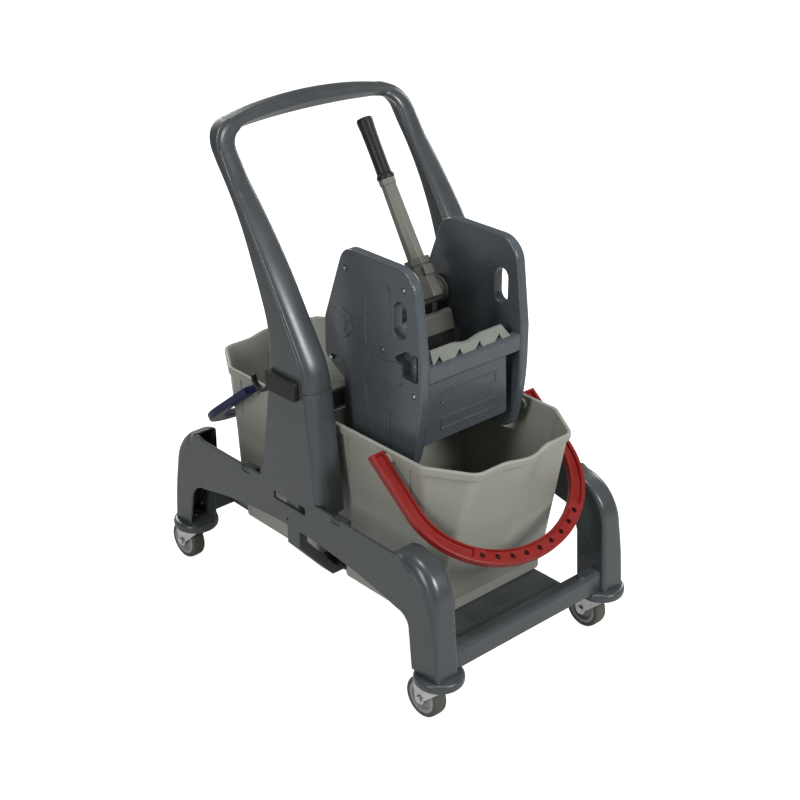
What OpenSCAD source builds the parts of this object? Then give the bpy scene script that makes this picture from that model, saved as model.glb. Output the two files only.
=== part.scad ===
// Double mop bucket trolley with a lever press that stands in the front bucket.
// Millimetres. X runs across the trolley, Y from the front (-) to the push handle (+), Z up from the floor.

/* [Casters] */
// Wheel diameter
wheel_d = 75; // [68:1:82]
// Width of the tyre
tyre_w = 26; // [22:1:28]
// Diameter of the tyre's seat on the hub
hub_d = 58; // [52:1:62]
// Diameter of the axle bolt
axle_d = 8; // [6:0.5:10]
// Distance from the swivel axis back to the axle
caster_trail = 30; // [26:1:34]
// Thickness of the fork's sheet metal
fork_t = 3; // [2:0.5:4]
// Diameter of the fork's round crown
crown_d = 40; // [34:1:44]
// Diameter of the swivel stem
stem_d = 12; // [10:1:14]
// Diameter of a bumper
bumper_d = 86; // [80:1:92]
// Height of a bumper
bumper_h = 18; // [15:1:22]
// Thickness of a bumper's top
bumper_t = 4; // [3:0.5:6]
// Distance from a leg's outer face in to the swivel axis
swivel_in_x = 29; // [26:1:32]
// Distance from a leg's end face in to the swivel axis
swivel_in_y = 27; // [22:1:32]

/* [Side frames] */
// Width over the legs at their feet
track_w = 458; // [446:2:480]
// Length over the legs at their feet
frame_l = 740; // [726:2:754]
// Inward lean of the side panels, in degrees
side_lean = 0.3; // [0:0.1:1.5]
// Wall of the moulded side frames
frame_wall = 4; // [3:0.5:5]
// Width of a leg across the trolley
leg_w = 50; // [46:1:54]
// Depth of a leg along the trolley
leg_d = 64; // [58:1:70]
// Depth of a rear leg's outer panel along the trolley
rear_panel_d = 50; // [42:1:56]
// Lean of a leg's end face, from foot to arch
leg_lean = 10; // [4:1:14]
// Height of the arched leg tops
hood_z = 308; // [305:1:318]
// Radius of the arched leg tops
hood_r = 82; // [72:1:90]
// Length of the slope from an arched top down to the beam
hood_run = 20; // [12:1:30]
// Depth of a rear leg's hollow hood along the trolley
hood_d = 81; // [72:1:92]
// Depth of a front leg's hollow hood along the trolley
front_hood_d = 112; // [104:1:120]
// Height of the side beam's upper edge
beam_z = 304; // [298:1:308]
// Height of the side beam's lower edge at its ends
under_z = 200; // [190:1:208]
// Rise of the side beam's arched lower edge
under_rise = 33; // [15:1:40]
// Radius between a front leg and the beam's lower edge
front_fillet = 28; // [15:1:35]
// Radius between a rear leg and the beam's lower edge
rear_fillet = 45; // [30:1:50]
// Height of the joint between tower and push handle
seam_z = 505; // [490:1:515]
// Front edge of a tower's panel at the joint
tower_front = -37; // [-44:1:-30]
// Rear edge of a tower's panel at the joint
tower_rear = 55; // [48:1:62]
// How far the tower's front edge spreads at its base
tower_flare = 25; // [15:1:35]
// How far the rounded tower front stands ahead of its panel
tower_bulge = 14; // [10:1:20]
// How far a tower reaches below the beam's upper edge
tower_sink = 12; // [8:1:14]
// Length of the slot through the side panel
slot_l = 87; // [60:1:100]
// Height of the slot through the side panel
slot_h = 14.5; // [10:0.5:20]

/* [Shelves] */
// Depth of a cross-beam along the trolley
beam_d = 24; // [20:1:28]
// Height of a cross-beam
beam_h = 39; // [32:1:44]
// Width of a shelf's plate
shelf_w = 252; // [220:2:270]
// Length of a shelf's plate behind its cross-beam
shelf_l = 248; // [230:1:250]
// Height of a shelf's top above the leg feet
shelf_up = 18; // [14:1:22]
// Thickness of a shelf's plate
shelf_t = 6; // [4:0.5:8]
// Width of the centre support along the trolley
support_w = 34; // [26:1:38]
// Height of the spacer between the two buckets
spacer_h = 32; // [20:1:40]

/* [Push handle] */
// Height of the push handle above the joint
handle_h = 421; // [405:1:440]
// Width over the handle at its top
handle_w = 437; // [428:1:444]
// Width of a handle leg at its top
handle_leg_w = 38; // [32:1:42]
// Height of the top bar
bar_h = 30; // [26:1:36]
// Depth of the top bar
bar_d = 38; // [32:1:42]
// Rise of the top bar's arch
bar_rise = 16; // [12:1:22]
// Outer corner radius of the handle
handle_r = 49; // [40:1:60]
// Rearward lean of the handle, in degrees
handle_lean = 41; // [38:0.5:44]
// Wall of the hollow handle legs
handle_wall = 5; // [4:0.5:7]
// How far a clip stands proud of the side
clip_t = 9; // [6:0.5:12]
// Length of a clip
clip_l = 79; // [60:1:90]
// Height of a clip
clip_h = 35; // [28:1:42]

/* [Buckets] */
// Width over a bucket's rim
bucket_w = 324; // [310:1:328]
// Length over a bucket's rim, without its bulge
bucket_l = 338; // [326:1:345]
// Height of a bucket
bucket_h = 314; // [300:1:330]
// Wall of a bucket
bucket_wall = 3; // [2.5:0.25:4]
// How far the rolled rim stands out from the wall
lip_w = 5; // [3:0.5:7]
// Height of the rolled rim
lip_h = 14; // [10:1:18]
// Width of a bucket's foot
foot_w = 286; // [270:1:296]
// Length of a bucket's foot
foot_l = 218; // [205:1:226]
// Height of a bucket's foot
foot_h = 27; // [20:1:34]
// How far the wall stands out above the foot
foot_step = 4; // [2:0.5:6]
// Distance from the inner rim to the foot
foot_in = 35; // [28:1:42]
// Width of the rim's straight outer end
nose_w = 222; // [200:1:240]
// Length of the slanted rim corners along the trolley
corner_l = 85; // [70:1:95]
// Depth of the bulge in the outer end
bulge_d = 14; // [8:1:18]
// Width of the bulge in the outer end
bulge_w = 104; // [80:1:120]
// Height of the press ledge above the foot
ledge_h = 269; // [255:1:280]
// How far the press ledge reaches in past the press sides' outer faces
ledge_bite = 13; // [8:1:18]
// Distance from the inner rim to the bail's pivot
pivot_v = 177; // [165:1:190]
// Depth of the bail's pivot below the rim's upper edge
pivot_down = 17; // [14:1:20]
// Diameter of a bail's pivot pin
pivot_d = 10; // [8:0.5:12]

/* [Bails] */
// Width of a bail's side strap
bail_w = 28; // [24:1:31]
// Width of a bail's grip stretch
bail_grip_w = 28; // [24:1:34]
// Thickness of a bail
bail_t = 14; // [13:0.5:15]
// Room between the bucket's nose and the bail's grip stretch
bail_room = 55; // [48:1:60]
// Angle of a hanging bail below level, in degrees
bail_drop = 38; // [34:0.5:40]
// Diameter of the holes in a bail's grip stretch
bail_hole_d = 10; // [6:0.5:13]
// Number of holes in a bail's grip stretch
bail_holes = 9; // [5:1:11]

/* [Press] */
// Width over the press sides
press_w = 250; // [240:1:256]
// Depth of a press side's outer shell
side_d = 16; // [12:1:20]
// Thickness of a press side's inner cover
cover_t = 4; // [3:0.5:6]
// Height of the press sides
press_h = 349; // [338:1:362]
// Distance from the bucket's inner rim forward to the front of the press
press_front_v = 215; // [210:1:222]
// Distance from the bucket's inner rim forward to the press sides' lower rear edge
press_rear_v = 18; // [16:1:24]
// Reach of the press sides behind the bucket's inner rim
press_over = 35; // [30:1:38]
// Height of the step under the press sides' rear overhang
step_h = 108; // [102:1:114]
// Wall of a press side's outer shell
side_wall = 4; // [3:0.5:5]
// Diameter of the lever shaft
shaft_d = 16; // [14:0.5:20]
// Height of the lever shaft above the press sides' lower edge
shaft_up = 212; // [204:1:218]
// Distance from the bucket's inner rim forward to the lever shaft
shaft_v = 16; // [12:1:22]
// Diameter of the barrel on the lever shaft
barrel_d = 42; // [36:1:46]
// Length of a cam arm
cam_l = 85; // [78:1:88]
// Diameter of the jaw's pivot pins
jaw_pin_d = 8; // [6:0.5:10]
// Height of the jaw's pivot above the press sides' lower edge
jaw_up = 37; // [32:1:44]
// Distance from the bucket's inner rim forward to the jaw's pivot
jaw_v = 89; // [84:1:96]
// Thickness of the jaw plate
jaw_t = 8; // [6:0.5:10]
// Length of the jaw plate above its pivot
jaw_l = 118; // [110:1:122]
// Length of the jaw's head
jaw_head_l = 38; // [30:1:42]
// Rearward lean of the jaw at rest, in degrees
jaw_lean = 16.4; // [14:0.2:18]
// Room between the jaw and a press side
jaw_room = 10; // [7:0.5:20]
// Height of the bar across the press front
front_bar_h = 31; // [24:1:36]
// Depth of the bar across the press front
front_bar_d = 18; // [14:1:22]
// Height of the front bar's lower edge above the press sides' lower edge
front_bar_up = 155; // [145:1:165]
// Thickness of the sieve
sieve_t = 4; // [3:0.5:5]
// Room between the sieve and a press side
sieve_room = 10; // [5:0.5:20]
// Lever position across the trolley
lever_x = 60; // [50:1:66]
// Width across the lever tube's flats in its socket
lever_af = 30; // [27:0.5:34]
// Width across the lever tube's flats under the grip
lever_tip_af = 26; // [23:0.5:26.5]
// Rearward lean of the lever at rest, in degrees
lever_lean = 31.5; // [28:0.5:35]
// Distance from the lever shaft to the foot of the grip
lever_l = 208; // [190:1:215]
// Length of the grip
grip_l = 112; // [100:1:118]
// Largest diameter of the grip
grip_d = 30; // [26:0.5:32]
// Wire of the return spring
spring_wire = 3; // [2:0.25:3.5]
// Turns of the return spring
spring_turns = 4; // [3:1:5]

/* [Hidden] */
$fn = 64;

frame_grey = [0.24, 0.26, 0.27];
press_grey = [0.19, 0.21, 0.23];
bucket_grey = [0.50, 0.50, 0.47];
part_grey = [0.40, 0.42, 0.40];
bail_red = [0.56, 0.15, 0.13];
bail_navy = [0.19, 0.21, 0.29];
black = [0.12, 0.12, 0.12];
zinc = [0.64, 0.66, 0.65];
tyre_grey = [0.32, 0.31, 0.28];
hub_grey = [0.45, 0.45, 0.45];

// Clearances: a running fit on a radius, a seat between bodies, and room at the end of a shaft
run_fit = 0.05;
seat_gap = 0.3;
end_gap = 0.5;
// Overlap that keeps a cut or a joined face clean
over = 1;

// Caster heights
wheel_gap = 1.5;
yoke_z = wheel_d + wheel_gap;
bumper_gap = 2.5;
leg_z = yoke_z + fork_t + bumper_gap + bumper_h;
bumper_z = leg_z - bumper_h;
crown_top = leg_z - bumper_t - seat_gap;
crown_room = 5;
stem_head_d = 18;
stem_head_h = 3;
cheek_gap = 1.5;
cheek_in = tyre_w / 2 + cheek_gap;
cheek_out = cheek_in + fork_t;
cheek_r = 11;
axle_head_d = 13;
axle_head_h = 4;
swivel_x = track_w / 2 - swivel_in_x;
swivel_y = frame_l / 2 - swivel_in_y;

// The model's Y origin is midway between the front bumpers and the rear wheels
model_y = -(caster_trail + wheel_d / 2 - bumper_d / 2) / 2;

// Frame
half_l = frame_l / 2;
leg_in = track_w / 2 - leg_w;
side_room = 6;
tower_in = bucket_w / 2 + side_room;
tower_z = beam_z - tower_sink;
tower_base_spread = 29;
tower_foot_fillet = 10;
tower_mid = (tower_front + tower_rear) / 2;
hood_y = half_l - leg_lean - hood_r;
edge_lean = 8;
shelf_z = leg_z + shelf_up;
beam_low = leg_z + 1;
beam_set = 11;
beam_y = half_l - beam_set;
handle_corner_z = seam_z + handle_h - bar_rise - handle_r;
screw_d = 5;
screw_head_d = 9;
screw_head_h = 3;
end_plate = 8;

// Buckets
bucket_mid_y = 5;
rim_gap = 8;
rim_y = bucket_mid_y - rim_gap / 2;
bucket_z = shelf_z + seat_gap;
rim_z = bucket_z + bucket_h;
wall_top_w = bucket_w / 2 - lip_w;
wall_low_z = bucket_z + foot_h;
slit_w = 4;
slit_d = 1.5;
slit_h = 76;
boss_d = 22;
pin_over = 3;

// Bails
bail_gap = 2.8;
bail_in = bucket_w / 2 + bail_gap;
bail_out = bail_in + bail_w;
bail_reach = bucket_l + bulge_d - pivot_v + bail_room + bail_grip_w;
bail_side_l = 100;
bail_tail = 27;
bail_plain = 14;
bail_rim = 4;
bail_groove = 4;
pivot_z = rim_z - pivot_down;

// Press
press_z = bucket_z + ledge_h + seat_gap;
press_out = press_w / 2;
shell_in = press_out - side_d;
press_in = shell_in - cover_t;
jaw_w = 2 * (press_in - jaw_room);
sieve_w = 2 * (press_in - sieve_room);
bar_set = 1.5;
front_bar_y = -press_front_v + bar_set;
front_bar_back = front_bar_y + front_bar_d;
sieve_y = front_bar_back + 5;
sieve_foot_y = -jaw_v - 20;
lever_offset = 20;
socket_wall = 4;
socket_low = 16;
socket_top = 60;
tube_seat = 14;
cam_w = 12;
cam_tip_d = 16;
cam_in = 6;
flange_d = 50;
flange_w = 6;
spring_room = 29;
barrel_room = 2;
barrel_left = -press_in + spring_room + flange_w;
barrel_right = press_in - barrel_room - flange_w;
screw_pilot = 4;
screw_recess_d = 9;
screw_recess = 2;
ledge_v0 = 63;
ledge_v1 = 200;
slit_v = [68, 225];
// Pocket in the outer face of a press side, with a bar across it
pocket_v = 206;
pocket_w = 35;
pocket_low = 163;
pocket_h = 46;
pocket_d = 10;
catch_v = 198;
catch_d = 9;
// Side screws of the press, as distances forward of the rim and above the lower edge
side_screws = [[173, 315], [28, 312], [123, 197], [198, 138], [-12, 138]];

// Corner name, side across, end along
CORNERS = [["fl", -1, -1], ["fr", 1, -1], ["rl", -1, 1], ["rr", 1, 1]];

// Half width over the side panels at height z
function side_x(z) = track_w / 2 - tan(side_lean) * (z - leg_z);

// Half width over a bucket's wall at height z
function wall_x(z) = let (low = foot_w / 2 + foot_step)
    low + (wall_top_w - low) * (z - wall_low_z) / (rim_z - wall_low_z);

// Points of an arc about c, from angle a0 to a1
function arc(c, r, a0, a1, n = 10) =
    [for (i = [0:n]) let (a = a0 + (a1 - a0) * i / n) c + r * [cos(a), sin(a)]];

// Points of an ellipse's stretch about c
function oval(c, rx, ry, a0, a1, n = 16) =
    [for (i = [0:n]) let (a = a0 + (a1 - a0) * i / n) c + [rx * cos(a), ry * sin(a)]];

// Extrudes an outline of [y, z] points from x0 to x1
module across(x0, x1) translate([x0, 0, 0]) rotate([90, 0, 90]) linear_extrude(x1 - x0) children();

// Extrudes an outline of [x, z] points from y0 to y1
module along(y0, y1) translate([0, y1, 0]) rotate([90, 0, 0]) linear_extrude(y1 - y0) children();

// Rod along X
module rod(d, x0, x1) translate([x0, 0, 0]) rotate([0, 90, 0]) cylinder(d = d, h = x1 - x0);

// Thin level slice of an outline, for hulls
module slice(z, points) translate([0, 0, z]) linear_extrude(0.01) polygon(points);

module at_frame() translate([0, model_y, 0]) children();
module handed(side) mirror([side < 0 ? 1 : 0, 0, 0]) children();
module ended(end) mirror([0, end > 0 ? 1 : 0, 0]) children();

// Slab that follows the leaning right side panel, from depth t0 to depth t1 below its face
module side_slab(t0, t1) {
    low = leg_z - over;
    high = seam_z + over;
    along(-half_l - over, half_l + over)
        polygon([[side_x(low) - t1, low], [side_x(low) - t0, low],
                 [side_x(high) - t0, high], [side_x(high) - t1, high]]);
}

// Side frames

function front_leg_edge() = concat(
    [[-half_l, leg_z]],
    arc([-hood_y, hood_z - hood_r], hood_r, 180, 90),
    [[-hood_y + hood_run, beam_z]]);

function backwards(points) = [for (i = [len(points) - 1:-1:0]) points[i]];

function flip(points) = [for (p = backwards(points)) [-p[0], p[1]]];

function beam_lower_edge() =
    let (y1 = half_l - rear_panel_d - leg_lean - rear_fillet,
         y0 = -half_l + leg_d + edge_lean + front_fillet,
         mid = (y0 + y1) / 2,
         half = (y1 - y0) / 2)
    concat(
        [[half_l - rear_panel_d, leg_z]],
        arc([y1, under_z - rear_fillet], rear_fillet, 0, 90, 6),
        [for (i = [1:11]) let (y = y1 - (y1 - y0) * i / 12)
            [y, under_z + under_rise * (1 - pow((y - mid) / half, 2))]],
        arc([y0, under_z - front_fillet], front_fillet, 90, 180, 6),
        [[-half_l + leg_d, leg_z]]);

function tower_edge() =
    let (fillet_y = tower_rear + tower_base_spread + tower_foot_fillet)
    concat(
        [[tower_front - tower_flare, beam_z], [tower_front, seam_z], [tower_rear, seam_z]],
        arc([fillet_y, beam_z + tower_foot_fillet], tower_foot_fillet, 180, 270, 6));

module side_panel_outline()
    polygon(concat(front_leg_edge(), tower_edge(), flip(front_leg_edge()), beam_lower_edge()));

// Hollow leg behind the panel with a hood of the given depth, open toward the middle, for the front end
module leg_shell(depth) {
    difference() {
        intersection() {
            across(leg_in, track_w / 2)
                intersection() {
                    polygon(concat(front_leg_edge(),
                        [[-half_l + leg_d + edge_lean, under_z], [-half_l + leg_d, leg_z]]));
                    translate([-half_l - over, 0]) square([depth + over, hood_z + over]);
                }
            side_slab(frame_wall / 2, track_w / 2);
        }
        intersection() {
            across(leg_in + frame_wall, track_w / 2)
                polygon(concat(
                    [[-half_l + frame_wall, leg_z + frame_wall]],
                    arc([-hood_y, hood_z - hood_r], hood_r - frame_wall, 180, 90),
                    [[0, hood_z - frame_wall], [0, leg_z + frame_wall]]));
            side_slab(frame_wall, track_w / 2);
        }
    }
}

// Level section of a tower with a rounded front
function tower_section(x0, x1, y0, y1) =
    concat([[x1, y1], [x0, y1]],
        oval([(x0 + x1) / 2, y0 + tower_bulge], (x1 - x0) / 2, tower_bulge, 180, 360, 12));

module tower_body(inset) {
    base_front = tower_front - tower_flare - tower_bulge + inset;
    base_rear = tower_rear + tower_base_spread - inset;
    top_front = tower_front - tower_bulge + inset;
    skin = frame_wall / 2 + inset;
    hull() {
        slice(tower_z - inset, tower_section(tower_in + inset, side_x(tower_z) - skin, base_front, base_rear));
        slice(seam_z - 0.01 - inset,
            tower_section(tower_in + inset, side_x(seam_z) - skin, top_front, tower_rear - inset));
    }
}

module side_frame() {
    notch_w = 20;
    notch_h = 12;
    slot_z = beam_z - slot_h - 16;
    slot_y = tower_mid - slot_l / 2;
    notch_run = 115;
    difference() {
        union() {
            intersection() {
                across(0, track_w / 2) side_panel_outline();
                side_slab(0, frame_wall);
            }
            leg_shell(front_hood_d);
            ended(1) leg_shell(hood_d);
            difference() {
                tower_body(0);
                tower_body(frame_wall);
            }
        }
        for (end = [-1, 1]) {
            translate([swivel_x, end * swivel_y, leg_z - over])
                cylinder(d = stem_d + 2 * run_fit, h = frame_wall + 2 * over);
            translate([0, end * (beam_y - beam_d / 2), beam_low + beam_h / 2])
                rod(screw_d + 2 * run_fit, leg_in - over, leg_in + frame_wall + over);
        }
        for (y = [tower_mid - notch_run - notch_w, tower_mid + notch_run])
            translate([leg_in, y, beam_z - notch_h]) cube([leg_w, notch_w, notch_h + over]);
        intersection() {
            across(0, track_w / 2) translate([slot_y, slot_z]) square([slot_l, slot_h]);
            side_slab(-over, 2 * frame_wall);
        }
    }
}

module side_frame_left() color(frame_grey) at_frame() handed(-1) side_frame();
module side_frame_right() color(frame_grey) at_frame() side_frame();

// Shelves, modelled at the front end

function beam_section(t) = concat(
    [[-beam_y + beam_d - t, beam_low - (t > 0 ? over : 0)], [-beam_y + t, beam_low - (t > 0 ? over : 0)]],
    arc([-beam_y + 10, beam_low + beam_h - 10], 10 - t, 180, 90, 5),
    [[-beam_y + beam_d - t, beam_low + beam_h - t]]);

module shelf() {
    rib_t = 4;
    plate_y = -beam_y + beam_d - over;
    lug_d = 14;
    difference() {
        union() {
            difference() {
                across(-leg_in, leg_in) polygon(beam_section(0));
                across(-leg_in + end_plate, leg_in - end_plate) polygon(beam_section(frame_wall));
            }
            translate([-shelf_w / 2, plate_y, shelf_z - shelf_t]) cube([shelf_w, shelf_l, shelf_t]);
            for (x = [-0.4, 0, 0.4])
                translate([x * shelf_w - rib_t / 2, plate_y, beam_low])
                    cube([rib_t, shelf_l - 4, shelf_z - beam_low - shelf_t + over]);
            translate([leg_in - 40, -beam_y + beam_d / 2, beam_low + beam_h - over])
                cylinder(d = lug_d, h = 4 + over);
        }
        for (side = [-1, 1])
            translate([0, -beam_y + beam_d / 2, beam_low + beam_h / 2])
                rod(screw_d + 2 * run_fit, side > 0 ? leg_in - end_plate - over : -leg_in - over,
                    side > 0 ? leg_in + over : -leg_in + end_plate + over);
    }
}

module front_shelf() color(frame_grey) at_frame() shelf();
module rear_shelf() color(frame_grey) at_frame() ended(1) shelf();

// Spacer between the buckets, with a seat under both of them, hung from the towers
module centre_support() {
    low = shelf_z - shelf_t;
    arm_t = 18;
    arm_low = 195;
    seat_l = 150;
    elbow = shelf_w / 2 + 24;
    half = [
        [0, low], [elbow, low], [side_x(arm_low) - frame_wall, arm_low],
        [side_x(tower_z) - frame_wall, tower_z], [side_x(tower_z) - frame_wall - arm_t, tower_z],
        [side_x(arm_low) - frame_wall - arm_t, arm_low + 8], [elbow - 8, low + 16],
        [shelf_w / 2 - 20, low + 16], [shelf_w / 2 - 30, shelf_z + spacer_h], [0, shelf_z + spacer_h]
    ];
    color(frame_grey) at_frame() {
        for (side = [-1, 1])
            handed(side) along(bucket_mid_y - support_w / 2, bucket_mid_y + support_w / 2) polygon(half);
        translate([-shelf_w / 2, bucket_mid_y - seat_l / 2, low]) cube([shelf_w, seat_l, shelf_t]);
    }
}

module frame_screws()
    color(zinc) at_frame()
        for (side = [-1, 1], end = [-1, 1])
            handed(side) translate([0, end * (beam_y - beam_d / 2), beam_low + beam_h / 2]) {
                rod(screw_d, leg_in - end_plate, leg_in + frame_wall + over);
                rod(screw_head_d, leg_in + frame_wall, leg_in + frame_wall + screw_head_h);
            }

// Push handle

// Handle edge that leaves [y, z] upright and bends back by angle a on radius r
function bent_edge(y, z, r, a) = arc([y + r, z], r, 180, 180 - a, 6);

// Such an edge that runs on straight to height z1, then bends from angle a to angle b on radius r1
function twice_bent_edge(y, z, r, a, z1, r1, b) =
    let (y1 = y + r * (1 - cos(a)) + (z1 - z - r * sin(a)) * tan(a))
    concat(bent_edge(y, z, r, a), arc([y1 + r1 * cos(a), z1 - r1 * sin(a)], r1, 180 - a, 180 - b, 8));

module push_handle() {
    top = seam_z + handle_h;
    foot_front = tower_front - tower_bulge;
    front_z = seam_z + 2;
    front_r = 110;
    front_a = handle_lean - 10;
    rear_z = seam_z + 57;
    rear_r = 200;
    rear_a = handle_lean - 20.5;
    front_sweep_z = seam_z + 135;
    front_sweep_r = 1300;
    rear_sweep_z = seam_z + 160;
    rear_sweep_r = 586;
    hollow_front_a = 24;
    hollow_rear_a = 12;
    top_lean = 32;
    chamfer = 8;
    knee_z = seam_z + 195;
    front = twice_bent_edge(foot_front, front_z, front_r, front_a, front_sweep_z, front_sweep_r, handle_lean);
    rear = twice_bent_edge(tower_rear, rear_z, rear_r, rear_a, rear_sweep_z, rear_sweep_r, handle_lean);
    front_end = front[len(front) - 1];
    front_top = front_end[0] + (top - chamfer - front_end[1]) * tan(top_lean);
    bar_rear = front_top + bar_d;
    side = concat(
        [[foot_front, seam_z]], front,
        [[front_top, top - chamfer], [front_top + chamfer, top], [bar_rear - chamfer, top],
         [bar_rear, top - chamfer]],
        backwards(rear),
        [[tower_rear, seam_z]]);
    outer_r_x = handle_w / 2 - handle_r;
    inner_r = 25;
    inner_rise = bar_rise - 11;
    inner_x = handle_w / 2 - handle_leg_w - inner_r;
    inner_r_z = top - bar_h - inner_rise - inner_r;
    outer_half = concat(
        [[side_x(seam_z), seam_z], [side_x(seam_z), knee_z]],
        arc([outer_r_x, handle_corner_z], handle_r, 0, 90, 8),
        [for (i = [1:5]) let (x = outer_r_x * (1 - i / 6))
            [x, top - bar_rise * pow(x / outer_r_x, 2)]]);
    inner_half = concat(
        [[tower_in, seam_z]],
        arc([inner_x, inner_r_z], inner_r, 0, 90, 6),
        [for (i = [1:5]) let (x = inner_x * (1 - i / 6))
            [x, top - bar_h - inner_rise * pow(x / inner_x, 2)]]);
    color(frame_grey) at_frame()
        difference() {
            intersection() {
                across(-track_w / 2, track_w / 2) polygon(side);
                along(-half_l, half_l)
                    difference() {
                        polygon(concat(outer_half, [[0, top]], flip(outer_half)));
                        polygon(concat(inner_half, [[0, top - bar_h]], flip(inner_half)));
                    }
            }
            // Hollow of each leg, open where it stands on its tower
            for (s = [-1, 1])
                handed(s)
                    across(tower_in + handle_wall, handle_w / 2 - handle_wall)
                        polygon(concat(
                            [[foot_front + 2 * handle_wall, seam_z - over]],
                            bent_edge(foot_front + 2 * handle_wall, front_z, front_r, hollow_front_a),
                            backwards(bent_edge(tower_rear - handle_wall, rear_z, rear_r, hollow_rear_a)),
                            [[tower_rear - handle_wall, seam_z - over]]));
        }
}

// Clip over the joint of tower and handle, with a claw at its rear end
module clip() {
    claw_r = 24;
    claw_t = 6;
    y0 = tower_front + 11;
    z0 = seam_z - clip_h / 2;
    low = z0 - claw_r;
    high = z0 + clip_h;
    face = [[side_x(low), low], [side_x(seam_z), seam_z], [side_x(seam_z), high]];
    intersection() {
        across(0, track_w / 2 + clip_t)
            union() {
                translate([y0 + 6, z0]) square([clip_l - 6, clip_h]);
                translate([y0 + 6, z0 + 6]) circle(r = 6);
                translate([y0, z0 + 6]) square([12, clip_h - 12]);
                translate([y0 + 6, z0 + clip_h - 6]) circle(r = 6);
                difference() {
                    translate([y0 + clip_l + claw_r - claw_t, z0 + 12]) circle(r = claw_r);
                    translate([y0 + clip_l + claw_r - claw_t, z0 + 12]) circle(r = claw_r - claw_t);
                    translate([y0 + clip_l - over - claw_t, z0 + 12]) square([2 * claw_r + 2 * over, claw_r + over]);
                }
            }
        along(-half_l, half_l) polygon(concat(face, [for (p = backwards(face)) p + [clip_t, 0]]));
    }
}

module clip_left() color(black) at_frame() handed(-1) clip();
module clip_right() color(black) at_frame() clip();

// Casters

module at_caster(corner) at_frame() translate([corner[1] * swivel_x, corner[2] * swivel_y, 0]) children();
module at_axle(corner) at_caster(corner) translate([0, caster_trail, wheel_d / 2]) children();

module bumper(corner) {
    r = bumper_d / 2;
    bore = stem_d / 2 + run_fit;
    recess = crown_d / 2 + crown_room;
    round_r = 7;
    color(frame_grey) at_caster(corner)
        rotate_extrude()
            polygon(concat(
                [[bore, leg_z - bumper_t], [recess, leg_z - bumper_t], [recess, bumper_z], [r - 3, bumper_z],
                 [r, bumper_z + 3]],
                arc([r - round_r, leg_z - round_r], round_r, 0, 90, 6),
                [[bore, leg_z]]));
}

module fork(corner) {
    yoke_front = 19;
    yoke_rear = caster_trail + cheek_r + 4;
    stem_top = leg_z + frame_wall + seat_gap;
    color(zinc) at_caster(corner)
        difference() {
            union() {
                translate([-cheek_out, -yoke_front, yoke_z])
                    cube([2 * cheek_out, yoke_front + yoke_rear, fork_t]);
                translate([0, 0, yoke_z + fork_t / 2]) cylinder(d = crown_d, h = crown_top - yoke_z - fork_t / 2);
                translate([0, 0, crown_top - over]) cylinder(d = stem_d, h = stem_top - crown_top + over);
                translate([0, 0, stem_top]) cylinder(d = stem_head_d, h = stem_head_h);
                for (side = [-1, 1])
                    handed(side) across(cheek_in, cheek_out) {
                        polygon([[-yoke_front, yoke_z + fork_t], [yoke_rear, yoke_z + fork_t],
                                 [yoke_rear, yoke_z - 8], [caster_trail + cheek_r, wheel_d / 2],
                                 [caster_trail - cheek_r, wheel_d / 2], [-yoke_front, yoke_z - 4]]);
                        translate([caster_trail, wheel_d / 2]) circle(r = cheek_r);
                    }
            }
            translate([0, caster_trail, wheel_d / 2])
                rod(axle_d + 2 * run_fit, -cheek_out - over, cheek_out + over);
        }
}

module axle(corner)
    color(zinc) at_axle(corner) {
        rod(axle_d, -cheek_out - over, cheek_out + over);
        for (side = [-1, 1])
            handed(side) rod(axle_head_d, cheek_out, cheek_out + axle_head_h);
    }

module hub(corner) {
    bore = axle_d / 2 + run_fit;
    boss_r = bore + 6;
    rim_r = hub_d / 2;
    rim_t = 4;
    boss_w = tyre_w / 2 + cheek_gap - seat_gap;
    rim_w = tyre_w / 2 - 2;
    web_w = 4;
    color(hub_grey) at_axle(corner) rotate([0, 90, 0])
        rotate_extrude()
            polygon([[bore, -boss_w], [boss_r, -boss_w], [boss_r + 1, -web_w], [rim_r - rim_t - 1, -web_w],
                     [rim_r - rim_t, -rim_w], [rim_r, -rim_w], [rim_r, rim_w], [rim_r - rim_t, rim_w],
                     [rim_r - rim_t - 1, web_w], [boss_r + 1, web_w], [boss_r, boss_w], [bore, boss_w]]);
}

module tyre(corner) {
    crown_r = 5;
    half = tyre_w / 2;
    color(tyre_grey) at_axle(corner) rotate([0, 90, 0])
        rotate_extrude()
            polygon(concat(
                [[hub_d / 2, -half + 1], [hub_d / 2 + 1, -half]],
                arc([wheel_d / 2 - crown_r, -half + crown_r], crown_r, -90, 0, 5),
                arc([wheel_d / 2 - crown_r, half - crown_r], crown_r, 0, 90, 5),
                [[hub_d / 2 + 1, half], [hub_d / 2, half - 1]]));
}

// Buckets, modelled as [x, v] outlines, with v running from the inner rim out to the end

// Rim outline at distance d outside the wall's top
function rim_outline(d, bulge) =
    let (v0 = lip_w - d,
         nose_x = nose_w / 2 - lip_w / 2,
         nose_v = bucket_l - lip_w,
         corner_v = bucket_l - corner_l,
         turn = atan2(wall_top_w - nose_x, nose_v - corner_v),
         side = [wall_top_w + d, corner_v + d * tan(turn / 2)],
         nose = [nose_x + d * tan(45 - turn / 2), nose_v + d],
         half = bulge_w / 2 + d)
    concat([[-wall_top_w - d, v0], [wall_top_w + d, v0], side, nose],
        bulge ? [for (i = [0:12]) let (x = half * (1 - i / 6))
            [x, nose_v + d + bulge_d * (1 + cos(180 * x / half)) / 2]] : [],
        [[-nose[0], nose[1]], [-side[0], side[1]]]);

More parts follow.
